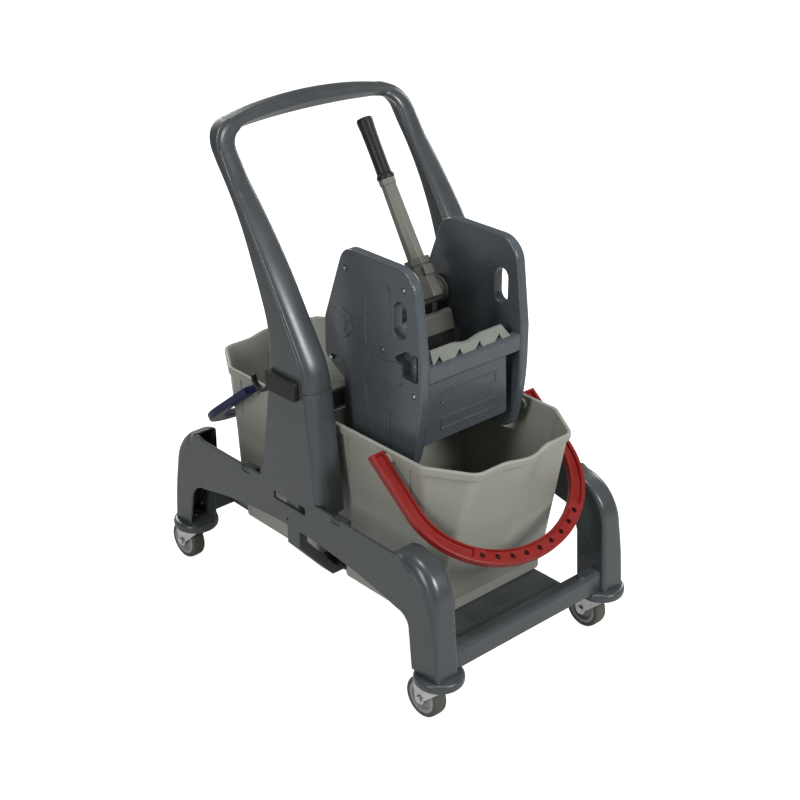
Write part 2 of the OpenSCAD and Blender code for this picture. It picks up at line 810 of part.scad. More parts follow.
// Outline of the wall's lower edge at distance d outside it
function low_outline(d) =
    let (x = foot_w / 2 + foot_step + d,
         v0 = foot_in - foot_step - d,
         v1 = foot_in + foot_l + foot_step + d,
         cut = 14)
    [[-x, v0], [x, v0], [x, v1 - cut], [x - cut, v1], [-x + cut, v1], [-x, v1 - cut]];

module bucket_wall_body(d) {
    low = d < 0 ? wall_low_z - over : wall_low_z;
    bulge_low_z = wall_low_z + 30;
    bulge_low_v = foot_in + foot_l + foot_step + 6 + d;
    half = bulge_w / 2 + d;
    nose_v = bucket_l - lip_w + d;
    top = d < 0 ? rim_z + over : rim_z - 0.01;
    hull() {
        slice(low, low_outline(d));
        slice(top, rim_outline(d, false));
    }
    hull() {
        slice(bulge_low_z, [[-half / 2, bulge_low_v - 20], [half / 2, bulge_low_v - 20],
                            [half / 3, bulge_low_v], [-half / 3, bulge_low_v]]);
        slice(top, concat([[-half, nose_v - 20], [half, nose_v - 20]],
            [for (i = [2:10]) let (x = half * (1 - i / 6))
                [x, nose_v + bulge_d * (1 + cos(180 * x / half)) / 2]]));
    }
}

module foot_box(t, z0, z1)
    translate([-foot_w / 2 + t, foot_in + t, z0]) cube([foot_w - 2 * t, foot_l - 2 * t, z1 - z0]);

// Ledge inside the right wall that carries the press
module press_ledge() {
    top = bucket_z + ledge_h;
    in_x = press_out - ledge_bite;
    along(ledge_v0, ledge_v1)
        polygon([[in_x, top], [in_x, top - 6], [wall_x(top - 28) - over, top - 28], [wall_x(top) - over, top]]);
}

module bucket() {
    slit_low = rim_z - lip_h - slit_h;
    slit_top = rim_z - lip_h - 2;
    difference() {
        union() {
            difference() {
                union() {
                    bucket_wall_body(0);
                    foot_box(0, bucket_z, wall_low_z + over);
                    translate([0, 0, rim_z - lip_h]) linear_extrude(lip_h) polygon(rim_outline(lip_w, true));
                }
                bucket_wall_body(-bucket_wall);
                foot_box(bucket_wall, bucket_z + bucket_wall, wall_low_z + over);
            }
            for (side = [-1, 1])
                handed(side) {
                    press_ledge();
                    translate([0, pivot_v, pivot_z]) {
                        rod(boss_d, wall_x(pivot_z) - bucket_wall + over, bail_in - seat_gap);
                        rod(pivot_d, wall_x(pivot_z), bail_out + pin_over);
                    }
                }
        }
        for (side = [-1, 1], v = slit_v)
            handed(side)
                along(v - slit_w / 2, v + slit_w / 2)
                    polygon([[wall_x(slit_low) - slit_d, slit_low], [bucket_w, slit_low], [bucket_w, slit_top],
                             [wall_x(slit_top) - slit_d, slit_top]]);
    }
}

// Puts a bucket or a bail, drawn with v along +Y, at the front or the rear
module at_bucket(end) at_frame() translate([0, bucket_mid_y + end * rim_gap / 2, 0])
    mirror([0, end < 0 ? 1 : 0, 0]) children();

module front_bucket() color(bucket_grey) at_bucket(-1) bucket();
module rear_bucket() color(bucket_grey) at_bucket(1) bucket();

// Bail outline in its own plane, inset by d, with q running from the pivot to the grip stretch
module bail_outline(d) {
    grip_in = bail_reach - bail_grip_w;
    difference() {
        polygon(concat([[bail_out - d, d - bail_tail]],
            oval([0, bail_side_l], bail_out - d, bail_reach - bail_side_l - d, 0, 180, 24),
            [[-bail_out + d, d - bail_tail]]));
        polygon(concat([[bail_in + d, -bail_tail - over]],
            oval([0, bail_side_l], bail_in + d, grip_in - bail_side_l + d, 0, 180, 24),
            [[-bail_in - d, -bail_tail - over]]));
    }
}

module bail() {
    hole_span = 76;
    hole_r = (bail_in + bail_out) / 2;
    hole_q = bail_reach - bail_grip_w / 2 - bail_side_l;
    translate([0, pivot_v, pivot_z]) rotate([-bail_drop, 0, 0])
        difference() {
            translate([0, 0, -bail_t / 2]) linear_extrude(bail_t) bail_outline(0);
            translate([0, 0, bail_t / 2 - bail_groove])
                linear_extrude(bail_groove + over)
                    difference() {
                        bail_outline(bail_rim);
                        translate([-bail_out, -bail_tail - over]) square([2 * bail_out, bail_tail + bail_plain + over]);
                    }
            for (i = [0:bail_holes - 1])
                let (a = 90 - hole_span / 2 + hole_span * i / (bail_holes - 1))
                    translate([hole_r * cos(a), bail_side_l + hole_q * sin(a), -bail_t])
                        cylinder(d = bail_hole_d, h = 2 * bail_t);
            for (side = [-1, 1])
                handed(side) rod(pivot_d + 2 * run_fit, bail_in - over, bail_out + over);
        }
}

module front_bail() color(bail_red) at_bucket(-1) bail();
module rear_bail() color(bail_navy) at_bucket(1) bail();

// Press, modelled with y measured from the bucket's inner rim and z from the press sides' lower edge

module at_press() at_frame() translate([0, rim_y, press_z]) children();
module at_shaft() at_press() translate([0, -shaft_v, shaft_up]) children();
module at_jaw() at_press() translate([0, -jaw_v, jaw_up]) children();

module side_outline() {
    step_rise = 28;
    slant_z = 206;
    rear_slant = 21;
    rear_r = 40;
    brow_z = 200;
    front_slant = 7.4;
    top_r = 45;
    low_r = 25;
    belly_z = 150;
    belly_r = 506;
    belly_a = asin((belly_z - low_r) / (belly_r - low_r));
    low_y = -press_front_v + belly_r - (belly_r - low_r) * cos(belly_a);
    rear_z = press_h - rear_r;
    front_z = press_h - top_r;
    rear_y = press_over - (rear_r + (rear_z - slant_z) * sin(rear_slant)) / cos(rear_slant);
    front_y = -press_front_v + (top_r + (front_z - brow_z) * sin(front_slant)) / cos(front_slant);
    polygon(concat(
        [[-press_rear_v, 0], [-press_rear_v, step_h], [press_over, step_h + step_rise], [press_over, slant_z]],
        arc([rear_y, rear_z], rear_r, rear_slant, 90, 8),
        arc([front_y, front_z], top_r, 90, 180 - front_slant, 8),
        [[-press_front_v, brow_z]],
        arc([-press_front_v + belly_r, belly_z], belly_r, 180, 180 + belly_a, 6),
        arc([low_y, low_r], low_r, 180 + belly_a, 270, 5)));
}

module finger_slot(grow) {
    slot_v = 164;
    slot_low = 244;
    slot_rise = 33;
    r = 15 + grow;
    for (z = [slot_low, slot_low + slot_rise]) translate([-slot_v, z]) circle(r = r);
    translate([-slot_v - r, slot_low]) square([2 * r, slot_rise]);
}

module catch_pocket(grow)
    translate([-pocket_v - grow, pocket_low - grow]) square([pocket_w + 2 * grow, pocket_h + 2 * grow]);

// Shallow upright channels on the outer face of a press side
module side_channels() {
    channel_w = 15;
    for (v = [134, 74]) {
        translate([-v - channel_w / 2, 202]) square([channel_w, 113]);
        translate([-v - channel_w / 2, 22]) square([channel_w, 100]);
    }
}

// Bores of the lever shaft and the jaw pins from x0 to x1
module press_bores(x0, x1) {
    translate([0, -shaft_v, shaft_up]) rod(shaft_d + 2 * run_fit, x0, x1);
    translate([0, -jaw_v, jaw_up]) rod(jaw_pin_d + 2 * run_fit, x0, x1);
}

module press_side() {
    channel_depth = 1.5;
    boss_d = 10;
    shaft_cap_d = 52;
    shaft_cap_h = 3;
    bush_wall = 5;
    difference() {
        union() {
            difference() {
                across(shell_in, press_out) side_outline();
                across(shell_in - over, press_out - side_wall) offset(delta = -side_wall) side_outline();
            }
            for (s = side_screws)
                translate([0, -s[0], s[1]]) rod(boss_d, shell_in, press_out - side_wall / 2);
            across(shell_in, press_out - side_wall / 2) finger_slot(side_wall);
            across(press_out - pocket_d - side_wall, press_out - side_wall / 2) catch_pocket(side_wall);
            translate([0, -shaft_v, shaft_up]) {
                rod(shaft_d + 2 * bush_wall, shell_in, press_out - side_wall / 2);
                rod(shaft_cap_d, press_out - over, press_out + shaft_cap_h);
            }
            translate([0, -jaw_v, jaw_up]) rod(jaw_pin_d + 2 * bush_wall, shell_in, press_out - side_wall / 2);
        }
        across(0, press_w) finger_slot(0);
        across(press_out - channel_depth, press_w) side_channels();
        across(press_out - pocket_d, press_w) catch_pocket(0);
        press_bores(shell_in - over, press_out - side_wall);
        for (s = side_screws)
            translate([0, -s[0], s[1]]) {
                rod(screw_pilot + 2 * run_fit, shell_in - over, press_w);
                rod(screw_recess_d, press_out - screw_recess, press_w);
            }
    }
}

module press_cover() {
    pilot_depth = cover_t / 2;
    difference() {
        across(press_in, shell_in) side_outline();
        across(0, press_w) finger_slot(0);
        press_bores(press_in - over, shell_in + over);
        for (s = side_screws)
            translate([0, -s[0], s[1]]) rod(screw_pilot + 2 * run_fit, shell_in - pilot_depth, press_w);
    }
}

module press_side_left() color(press_grey) at_press() handed(-1) press_side();
module press_side_right() color(press_grey) at_press() press_side();
module press_cover_left() color(press_grey) at_press() handed(-1) press_cover();
module press_cover_right() color(press_grey) at_press() press_cover();

module press_screws() {
    head_d = 6.5;
    head_h = 1.6;
    seat_x = press_out - screw_recess;
    color(zinc) at_press()
        for (side = [-1, 1], s = side_screws)
            handed(side) translate([0, -s[0], s[1]]) {
                rod(screw_pilot, shell_in - cover_t / 2, seat_x + head_h / 2);
                rod(head_d, seat_x, seat_x + head_h);
            }
}

// Bar and ridged panel across the front
module press_front() {
    bar_wall = 4;
    edge_r = 6;
    panel_t = 4;
    panel_room = 17;
    panel_w = 2 * (press_in - panel_room);
    panel_low = 40;
    ridge_in = 22;
    ridge_w = panel_w - 2 * ridge_in;
    ridge_h = 7;
    ridge_up = [36, 84];
    bar_top = front_bar_up + front_bar_h;
    panel_y = front_bar_back - panel_t;
    color(press_grey) at_press() {
        across(-press_in, press_in)
            difference() {
                polygon(concat(
                    arc([front_bar_y + edge_r, front_bar_up + edge_r], edge_r, 270, 180, 5),
                    arc([front_bar_y + edge_r, bar_top - edge_r], edge_r, 180, 90, 5),
                    [[front_bar_back, bar_top], [front_bar_back, front_bar_up]]));
                translate([front_bar_y + bar_wall, front_bar_up + bar_wall])
                    square([front_bar_d, front_bar_h - 2 * bar_wall]);
            }
        translate([-panel_w / 2, panel_y, panel_low])
            cube([panel_w, panel_t, front_bar_up + bar_wall / 2 - panel_low]);
        for (up = ridge_up)
            translate([-ridge_w / 2, panel_y - 2, panel_low + up]) cube([ridge_w, 2 + over, ridge_h]);
    }
}

// Fixed slotted jaw behind the front bar
module press_sieve() {
    sieve_up = 17;
    bend_z = 166;
    flare_z = 172;
    dip = 6;
    bar_top = front_bar_up + front_bar_h;
    top_z = bar_top + sieve_up;
    apron_y = front_bar_y + 8;
    lean = atan2(sieve_foot_y - sieve_y - sieve_t, bend_z - jaw_up);
    run = [sin(lean), -cos(lean)];
    back = [-cos(lean), -sin(lean)];
    bend = [sieve_y + sieve_t, bend_z];
    foot = [sieve_foot_y, jaw_up];
    top_w = sieve_w / 2 - 13;
    web_t = 4;
    rib_t = 3;
    rib_out = 2.5;
    notch_w = 17;
    strip = 3;
    slot_w = 9;
    slot_l = 44;
    slot_pitch = 23;
    rib_row = [-3, -1, 1, 3];
    color(part_grey) at_press() {
        difference() {
            intersection() {
                across(-sieve_w / 2, sieve_w / 2) {
                    polygon([[sieve_y, top_z], [sieve_y + sieve_t, top_z], bend, foot, foot + sieve_t * back,
                             [sieve_y, bend_z - sieve_t / 2], [sieve_y, bar_top - web_t],
                             [front_bar_back, bar_top - web_t], [front_bar_back, bar_top], [sieve_y, bar_top]]);
                    polygon([[sieve_y + over, top_z], [sieve_y, top_z], [apron_y, bar_top],
                             [apron_y + sieve_t, bar_top], [sieve_y + over, top_z - sieve_t]]);
                }
                along(-press_front_v, 0)
                    polygon(concat(
                        [[-sieve_w / 2, 0], [-sieve_w / 2, flare_z], [-top_w, top_z]],
                        [for (i = [-4:4]) let (x = 8 * i) [x, top_z - dip * (1 + cos(180 * x / 36)) / 2]],
                        [[top_w, top_z], [sieve_w / 2, flare_z], [sieve_w / 2, 0]]));
            }
            for (i = [-3:3], j = [0, 1])
                translate([slot_pitch * i, bend[0], bend[1]]) rotate([lean - 90, 0, 0])
                    translate([-slot_w / 2, 22 + j * (slot_l + 14), -2 * sieve_t])
                        cube([slot_w, slot_l, 4 * sieve_t]);
            for (i = rib_row) let (x = i * slot_pitch)
                along(-press_front_v, sieve_y + sieve_t + over)
                    polygon([[x, top_z - dip - strip], [x - notch_w, bar_top], [x, bar_top]]);
        }
        across(-press_in, press_in)
            polygon([foot, foot - 20 * run, foot - 20 * run + sieve_t * back, foot + sieve_t * back]);
        for (i = rib_row)
            across(i * slot_pitch, i * slot_pitch + rib_t)
                polygon([[apron_y - rib_out, bar_top], [apron_y + sieve_t, bar_top],
                         [sieve_y + over, top_z - dip - strip], [sieve_y - rib_out, top_z - dip - strip]]);
    }
}

module press_back() {
    back_t = 4;
    back_in = 16;
    back_up = 24;
    back_h = 48;
    color(press_grey) at_press()
        across(-press_in, press_in)
            translate([press_over - back_in, step_h + back_up]) square([back_t, back_h]);
}

// Grey bar behind the press sides that stands over the bucket's inner rim
module press_rest() {
    rest_w = 316;
    rest_top = 94;
    rest_low = rim_z - press_z + 4;
    rest_y = 2;
    plate_t = 6;
    foot_l = 18;
    color(part_grey) at_press() {
        translate([-rest_w / 2, -press_rear_v, rest_top - plate_t])
            cube([rest_w, press_rear_v + rest_y, plate_t]);
        translate([-rest_w / 2, rest_y - 4, rest_low]) cube([rest_w, 4, rest_top - rest_low]);
        for (x = [-1, -0.68, 0.68, 1])
            translate([x * (rest_w / 2 - 2) - 2, -press_rear_v, rest_low])
                cube([4, press_rear_v + rest_y, rest_top - rest_low]);
        for (side = [-1, 1])
            handed(side)
                translate([rest_w / 2 - foot_l, -press_rear_v, rim_z - press_z + seat_gap])
                    cube([foot_l, press_rear_v + rest_y, rest_low - rim_z + press_z - seat_gap + 3]);
    }
}

module press_tie_rod()
    color(zinc) at_press() translate([0, -press_rear_v - 14, 17]) rod(12, -press_in, press_in);

// Upright bar across the pocket of a press side, for a hook or a loop
module press_hook()
    translate([press_out - catch_d / 2, -catch_v, pocket_low]) cylinder(d = catch_d, h = pocket_h);

module press_hook_left() color(press_grey) at_press() handed(-1) press_hook();
module press_hook_right() color(press_grey) at_press() press_hook();

// Lever: shaft, barrel with cams and socket, tube, grip and return spring

module lever_shaft()
    color(zinc) at_shaft() rod(shaft_d, -press_out + side_wall + end_gap, press_out - side_wall - end_gap);

// Puts what is drawn along Z onto the lever's own line
module on_lever() translate([lever_x, 0, 0]) rotate([-lever_lean, 0, 0]) translate([0, -lever_offset, 0])
    children();

// Octagonal prism measured across its flats
module octagon(af, z0, z1)
    translate([0, 0, z0]) rotate([0, 0, 22.5]) cylinder(d = af / cos(22.5), h = z1 - z0, $fn = 8);

module lever_barrel() {
    socket_af = lever_af + 2 * socket_wall;
    collar_l = 12;
    collar_over = 6;
    color(part_grey) at_shaft()
        difference() {
            union() {
                rod(barrel_d, barrel_left, barrel_right);
                rod(flange_d, barrel_right, barrel_right + flange_w);
                rod(flange_d, barrel_left - flange_w, barrel_left);
                on_lever() {
                    octagon(socket_af, -socket_low, socket_top);
                    octagon(socket_af + collar_over, socket_top - collar_l, socket_top);
                }
                for (x = [barrel_left + cam_in, barrel_right - cam_in - cam_w])
                    across(x, x + cam_w) {
                        translate([-cam_tip_d / 2, -cam_l]) square([cam_tip_d, cam_l]);
                        translate([0, -cam_l]) circle(d = cam_tip_d);
                    }
            }
            rod(shaft_d + 2 * run_fit, barrel_left - flange_w - over, barrel_right + flange_w + over);
            on_lever() octagon(lever_af + 2 * run_fit, tube_seat, socket_top + over);
        }
}

module lever_tube()
    color(part_grey) at_shaft() on_lever() {
        octagon(lever_af, tube_seat, socket_top + over);
        translate([0, 0, socket_top]) rotate([0, 0, 22.5])
            linear_extrude(lever_l - socket_top, scale = lever_tip_af / lever_af)
                circle(d = lever_af / cos(22.5), $fn = 8);
    }

module lever_grip() {
    r0 = grip_d / 2;
    r1 = r0 - 2;
    collar = lever_tip_af / 2 + 3;
    end_r = 6;
    color(black) at_shaft() on_lever() translate([0, 0, lever_l])
        rotate_extrude()
            polygon(concat(
                [[0, 0], [collar, 0], [collar, 6], [r0, 9], [r1, grip_l - 10], [r1 + 2, grip_l - end_r]],
                arc([r1 + 2 - end_r, grip_l - end_r], end_r, 0, 90, 5),
                [[0, grip_l]]));
}

// Wound return spring round the shaft, between the barrel's left flange and the left cover
module return_spring() {
    sides = 6;
    steps = 8;
    coil_gap = 0.4;
    // The tube's flat steps stay outside the shaft, so the radius grows by their sag
    r = (shaft_d / 2 + coil_gap + spring_wire / 2) / cos(180 / steps);
    room = press_in + barrel_left - flange_w - 2 * seat_gap - spring_wire;
    x0 = barrel_left - flange_w - seat_gap - spring_wire / 2;
    n = spring_turns * steps;
    coil = [for (i = [0:n]) let (a = 360 * i / steps) [x0 - room * i / n, r * cos(a), r * sin(a)]];
    // Straight ends, one wire diameter long, square to the coil's radius
    first = coil[0] - [0, 0, spring_wire];
    last = coil[n] + [0, 0, spring_wire];
    path = concat([first], coil, [last]);
    m = len(path) - 1;
    points = [for (i = [0:m])
        let (a = i == 0 ? 0 : i == m ? 360 * n / steps : 360 * (i - 1) / steps,
             out = [0, cos(a), sin(a)])
        for (k = [0:sides - 1]) let (b = 360 * k / sides)
            path[i] + spring_wire / 2 * (cos(b) * out + sin(b) * [1, 0, 0])];
    faces = concat(
        [[for (k = [0:sides - 1]) k]],
        [for (i = [0:m - 1], k = [0:sides - 1]) let (j = (k + 1) % sides)
            each [[i * sides + k, (i + 1) * sides + k, i * sides + j],
                  [i * sides + j, (i + 1) * sides + k, (i + 1) * sides + j]]],
        [[for (k = [sides - 1:-1:0]) m * sides + k]]);
    turn_gap = min([for (i = [0:n - steps], j = [i + steps - 1:min(i + steps + 1, n)])
        norm(coil[i] - coil[j])]) - spring_wire;
    echo(spring_gap = turn_gap);
    color(zinc) at_shaft() polyhedron(points, faces);
}

// Moving jaw: plate on two pins, with a thicker head along its upper edge

module on_jaw() at_jaw() rotate([-jaw_lean, 0, 0]) children();

module jaw_plate() {
    hinge_r = 7;
    pin_end = press_out - side_wall - end_gap;
    color(black) on_jaw() {
        across(-jaw_w / 2, jaw_w / 2) {
            translate([-jaw_t / 2, 0]) square([jaw_t, jaw_l]);
            circle(r = hinge_r);
        }
        rod(jaw_pin_d, -pin_end, pin_end);
    }
}

module jaw_head() {
    head_t = jaw_t + 8;
    color(part_grey) on_jaw()
        across(-jaw_w / 2 - 3, jaw_w / 2 + 3) {
            translate([-head_t / 2, jaw_l]) square([head_t, jaw_head_l - head_t / 2]);
            translate([0, jaw_l + jaw_head_l - head_t / 2]) circle(d = head_t);
        }
}

side_frame_left();
side_frame_right();
front_shelf();
rear_shelf();
centre_support();
push_handle();
clip_left();
clip_right();
frame_screws();
for (corner = CORNERS) {
    bumper(corner);
    fork(corner);
    axle(corner);
    hub(corner);
    tyre(corner);
}
front_bucket();
rear_bucket();
front_bail();
rear_bail();
press_side_left();
press_side_right();
press_cover_left();
press_cover_right();
press_front();
press_sieve();
press_back();
press_rest();
press_tie_rod();
press_hook_left();
press_hook_right();
press_screws();
lever_shaft();
lever_barrel();
lever_tube();
lever_grip();
return_spring();
jaw_plate();
jaw_head();
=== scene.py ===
from math import copysign, cos, pi, radians, sin, sqrt, tan

import bmesh
import bpy
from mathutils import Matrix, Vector
from mathutils.geometry import delaunay_2d_cdt, tessellate_polygon
from mathutils.kdtree import KDTree


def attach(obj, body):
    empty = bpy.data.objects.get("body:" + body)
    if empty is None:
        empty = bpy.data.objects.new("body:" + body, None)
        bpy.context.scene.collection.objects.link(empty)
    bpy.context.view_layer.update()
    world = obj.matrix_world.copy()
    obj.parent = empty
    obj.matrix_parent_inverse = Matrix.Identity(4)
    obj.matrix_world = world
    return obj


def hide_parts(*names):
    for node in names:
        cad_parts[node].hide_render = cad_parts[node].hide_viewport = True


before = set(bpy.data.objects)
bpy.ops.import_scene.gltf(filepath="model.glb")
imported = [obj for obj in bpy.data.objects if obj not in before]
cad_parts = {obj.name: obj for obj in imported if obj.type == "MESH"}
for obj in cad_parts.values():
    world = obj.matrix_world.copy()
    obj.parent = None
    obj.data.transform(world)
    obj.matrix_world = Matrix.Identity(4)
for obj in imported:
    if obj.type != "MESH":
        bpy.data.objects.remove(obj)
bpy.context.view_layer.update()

# Sizes are in millimetres in the trolley's own coordinates: X across, Y from front to handle, Z up.
# MODEL_Y moves them along Y onto the shared frame.
MM = 0.001
MODEL_Y = -12.25

# Legs, hoods and beams of the side frames
PANEL_X = 229.0
PANEL_THICK = 5.0
SIDE_LEAN = radians(0.3)
LEG_Z = 100.0
LEG_IN = 179.0
LEG_D = 64.0
REAR_LEG_D = 50.0
HALF_L = 370.0
BEAM_Z = 304.0
HOOD_Y = 278.0
HOOD_Z = 308.0
HOOD_R = 82.0
HOOD_RUN = 20.0
REAR_HOOD_END = -289.0
FRAME_WALL = 3.5
NOTCHES = (-116.0, 134.0)
NOTCH_DEPTH = 12.0

# Towers and the joint of the push handle
SEAM_Z = 505.0
TOWER_IN = 168.0
TOWER_FRONT = -37.0
TOWER_REAR = 55.0
TOWER_BULGE = 14.0
TOWER_SLANT = 25.0
TOWER_SPREAD = 29.0
TOWER_TAPER = 0.1362
DOME_Z = 320.0
DOME_DEPTH = 43.0

# Rims of the front (-1) and the rear (1) bucket, and the press in the front one
RIM_FRONT_Y = 1.0
RIM_Y = {-1: RIM_FRONT_Y, 1: 9.0}
BUCKET_Z = 118.3
RIM_Z = 432.3
PRESS_Z = 387.6


def ramp(a, b, x):
    """Smooth step from 0 at a to 1 at b."""
    t = max(0.0, min(1.0, (x - a) / (b - a)))
    return t * t * (3 - 2 * t)


def mix(a, b, t):
    return a + (b - a) * t


def arc(c, r, a0, a1, n):
    """Points on an arc about c, angles in degrees."""
    angles = [radians(mix(a0, a1, i / n)) for i in range(n + 1)]
    return [(c[0] + r * cos(a), c[1] + r * sin(a)) for a in angles]


def inset(loop, d):
    """Anticlockwise loop moved inward by d."""
    moved = []
    for i, p in enumerate(loop):
        here = Vector(p)
        after = Vector(loop[(i + 1) % len(loop)])
        e0 = (here - Vector(loop[i - 1])).normalized()
        e1 = (after - here).normalized()
        n0 = Vector((-e0.y, e0.x))
        n1 = Vector((-e1.y, e1.x))
        moved.append(here + (n0 + n1) * (d / max(0.4, 1 + n0.dot(n1))))
    return moved


def rounded(loop, r, n=4):
    """Anticlockwise or clockwise loop with each corner rounded; r is one radius or one for each corner."""
    out = []
    for i, p in enumerate(loop):
        radius = r[i] if isinstance(r, (list, tuple)) else r
        here = Vector(p)
        a = Vector(loop[i - 1]) - here
        b = Vector(loop[(i + 1) % len(loop)]) - here
        half = a.angle(b) / 2
        if radius <= 0:
            out.append(here)
            continue
        cut = min(radius / tan(half), 0.49 * a.length, 0.49 * b.length)
        start = here + a.normalized() * cut
        end = here + b.normalized() * cut
        for k in range(n + 1):
            t = k / n
            out.append((1 - t) ** 2 * start + 2 * t * (1 - t) * here + t * t * end)
    return out


def inside(loop, p):
    """True where a point lies within a closed loop."""
    hit = False
    for a, b in zip(loop, loop[1:] + loop[:1]):
        if (a[1] > p[1]) != (b[1] > p[1]) and p[0] < (b[0] - a[0]) * (p[1] - a[1]) / (b[1] - a[1]) + a[0]:
            hit = not hit
    return hit


def reach_in(loop, p):
    """How far a point lies inside a loop; negative outside it."""
    near = 1e9
    for a, b in zip(loop, loop[1:] + loop[:1]):
        run = b - a
        t = max(0.0, min(1.0, (p - a).dot(run) / max(run.length_squared, 1e-9)))
        near = min(near, (p - a - run * t).length)
    return near if inside(loop, p) else -near


def round_rim(edge, thick, seam=None):
    """Side of a plate as (inset, depth) steps, with rounded edges and perhaps a joint line at a depth."""
    turn = [radians(30 * k) for k in range(4)]
    front = [(edge * (1 - sin(a)), edge * (1 - cos(a))) for a in turn]
    back = [(d, thick - depth) for d, depth in reversed(front)]
    joint = [(0, -0.8), (0.7, -0.1), (0.7, 0.1), (0, 0.8)] if seam else []
    return front + [(d, seam + depth) for d, depth in joint] + back


def spokes(axis, count):
    """Unit vectors all round an axis."""
    side = axis.orthogonal().normalized()
    up = axis.cross(side)
    turns = [2 * pi * i / count for i in range(count)]
    return [cos(t) * side + sin(t) * up for t in turns]


class Skin:
    """Faces of one piece as they are built up."""

    def __init__(self):
        self.points = []
        self.faces = []

    def add(self, points):
        start = len(self.points)
        self.points.extend(Vector(p) for p in points)
        return list(range(start, len(self.points)))

    def strip(self, a, b):
        for i in range(len(a)):
            j = (i + 1) % len(a)
            self.faces.append((a[i], a[j], b[j], b[i]))

    def loft(self, rings, joined=False):
        """Closed rings joined in turn, with flat ends or as an endless ring."""
        rows = [self.add(r) for r in rings]
        for a, b in zip(rows, rows[1:]):
            self.strip(a, b)
        if joined:
            self.strip(rows[-1], rows[0])
        else:
            self.faces.append(tuple(reversed(rows[0])))
            self.faces.append(tuple(rows[-1]))
        return self

    def fill(self, rows):
        """Flat face inside the first row of points and outside the others."""
        flat = [i for row in rows for i in row]
        for a, b, c in tessellate_polygon([[self.points[i] for i in row] for row in rows]):
            self.faces.append((flat[a], flat[b], flat[c]))

    def sides(self, loop, spot, rim, holes=(), hole_rim=None):
        """Edges of a plate and of its holes, and its flat back. Returns the outlines of its front."""
        fronts, backs = [], []
        for k, line in enumerate([loop, *holes]):
            profile = rim if k == 0 else hole_rim
            lines = [inset(line, d if k == 0 else -d) for d, depth in profile]
            rows = [self.add([spot(p[0], p[1], step[1]) for p in out]) for out, step in zip(lines, profile)]
            for a, b in zip(rows, rows[1:]):
                self.strip(a, b)
            fronts.append(lines[0])
            backs.append(rows[-1])
        self.fill(backs)
        return fronts

    def slab(self, loop, spot, thick, edge, holes=(), hole_edge=1.0):
        """Plate with rounded edges. spot(u, v, depth) gives the place of a point of the outline."""
        fronts = self.sides(loop, spot, round_rim(edge, thick), holes, round_rim(hole_edge, thick))
        self.fill([self.add([spot(p[0], p[1], 0) for p in line]) for line in fronts])

    def relief(self, loop, spot, rim, holes=(), hole_rim=None, marks=(), grid=10.0):
        """Plate whose front has raised or sunk marks, each a (loop, height, slope)."""
        fronts = self.sides(loop, spot, rim, holes, hole_rim)
        lines = list(fronts)
        marks = [([Vector(p) for p in line], height, slope) for line, height, slope in marks]
        for line, height, slope in marks:
            lines += [line, inset(line, -slope)]
        points, edges = [], []
        for line in lines:
            first, n = len(points), len(line)
            points += [Vector(p) for p in line]
            edges += [(first + i, first + (i + 1) % n) for i in range(n)]
        crowd = KDTree(len(points))
        for i, p in enumerate(points):
            crowd.insert((p.x, p.y, 0), i)
        crowd.balance()
        outline = fronts[0]
        low = Vector((min(p[0] for p in outline), min(p[1] for p in outline)))
        high = Vector((max(p[0] for p in outline), max(p[1] for p in outline)))
        for i in range(1, int((high.x - low.x) / grid)):
            for j in range(1, int((high.y - low.y) / grid)):
                p = low + Vector((i * grid, j * grid))
                if crowd.find((p.x, p.y, 0))[2] > 0.4 * grid and inside(outline, p):
                    points.append(p)
        flat, _, faces, *_ = delaunay_2d_cdt(points, edges, [], 0, 0.0005)
        boxes = [(min(p.x for p in m[0]) - m[2], max(p.x for p in m[0]) + m[2],
                  min(p.y for p in m[0]) - m[2], max(p.y for p in m[0]) + m[2]) for m in marks]
        places = []
        for p in flat:
            lift = 0.0
            for (line, height, slope), (x0, x1, y0, y1) in zip(marks, boxes):
                if x0 <= p.x <= x1 and y0 <= p.y <= y1:
                    lift += height * max(0.0, min(1.0, 1 + reach_in(line, p) / slope))
            places.append(spot(p.x, p.y, -lift))
        row = self.add(places)
        for face in faces:
            centre = sum((flat[i] for i in face), Vector((0, 0))) / len(face)
            if inside(outline, centre) and not any(inside(line, centre) for line in fronts[1:]):
                self.faces.append(tuple(row[i] for i in face))
        return self

    def lathe(self, profile, centre, axis, steps=40):
        """Solid of revolution. The profile is (radius, along) points, open at both ends on the axis."""
        axis = Vector(axis).normalized()
        middle = Vector(centre)
        return self.loft([[middle + axis * s + out * r for out in spokes(axis, steps)] for r, s in profile])

    def turn(self, profile, centre, axis, steps):
        """Ring turned from a closed profile of (radius, along) points."""
        axis = Vector(axis).normalized()
        middle = Vector(centre)
        rings = [[middle + axis * s + out * r for r, s in profile] for out in spokes(axis, steps)]
        return self.loft(rings, joined=True)

    def tube(self, path, r, sides=10):
        """Round wire along a path, with flat ends."""
        rings = []
        up = None
        for i, p in enumerate(path):
            run = (path[min(i + 1, len(path) - 1)] - path[max(i - 1, 0)]).normalized()
            up = run.orthogonal().normalized() if up is None else (up - run * up.dot(run)).normalized()
            side = run.cross(up)
            turns = [2 * pi * k / sides for k in range(sides)]
            rings.append([p + r * (cos(t) * up + sin(t) * side) for t in turns])
        return self.loft(rings)

    def brick(self, low, high, edge):
        """Box with rounded edges."""
        loop = rounded([(low[0], low[1]), (high[0], low[1]), (high[0], high[1]), (low[0], high[1])], edge)
        self.slab(loop, lambda u, v, d: (u, v, high[2] - d), high[2] - low[2], edge)

    def mirrored(self):
        """The same skin on the other side of the trolley."""
        other = Skin()
        other.points = [Vector((-p.x, p.y, p.z)) for p in self.points]
        other.faces = [tuple(reversed(f)) for f in self.faces]
        return other

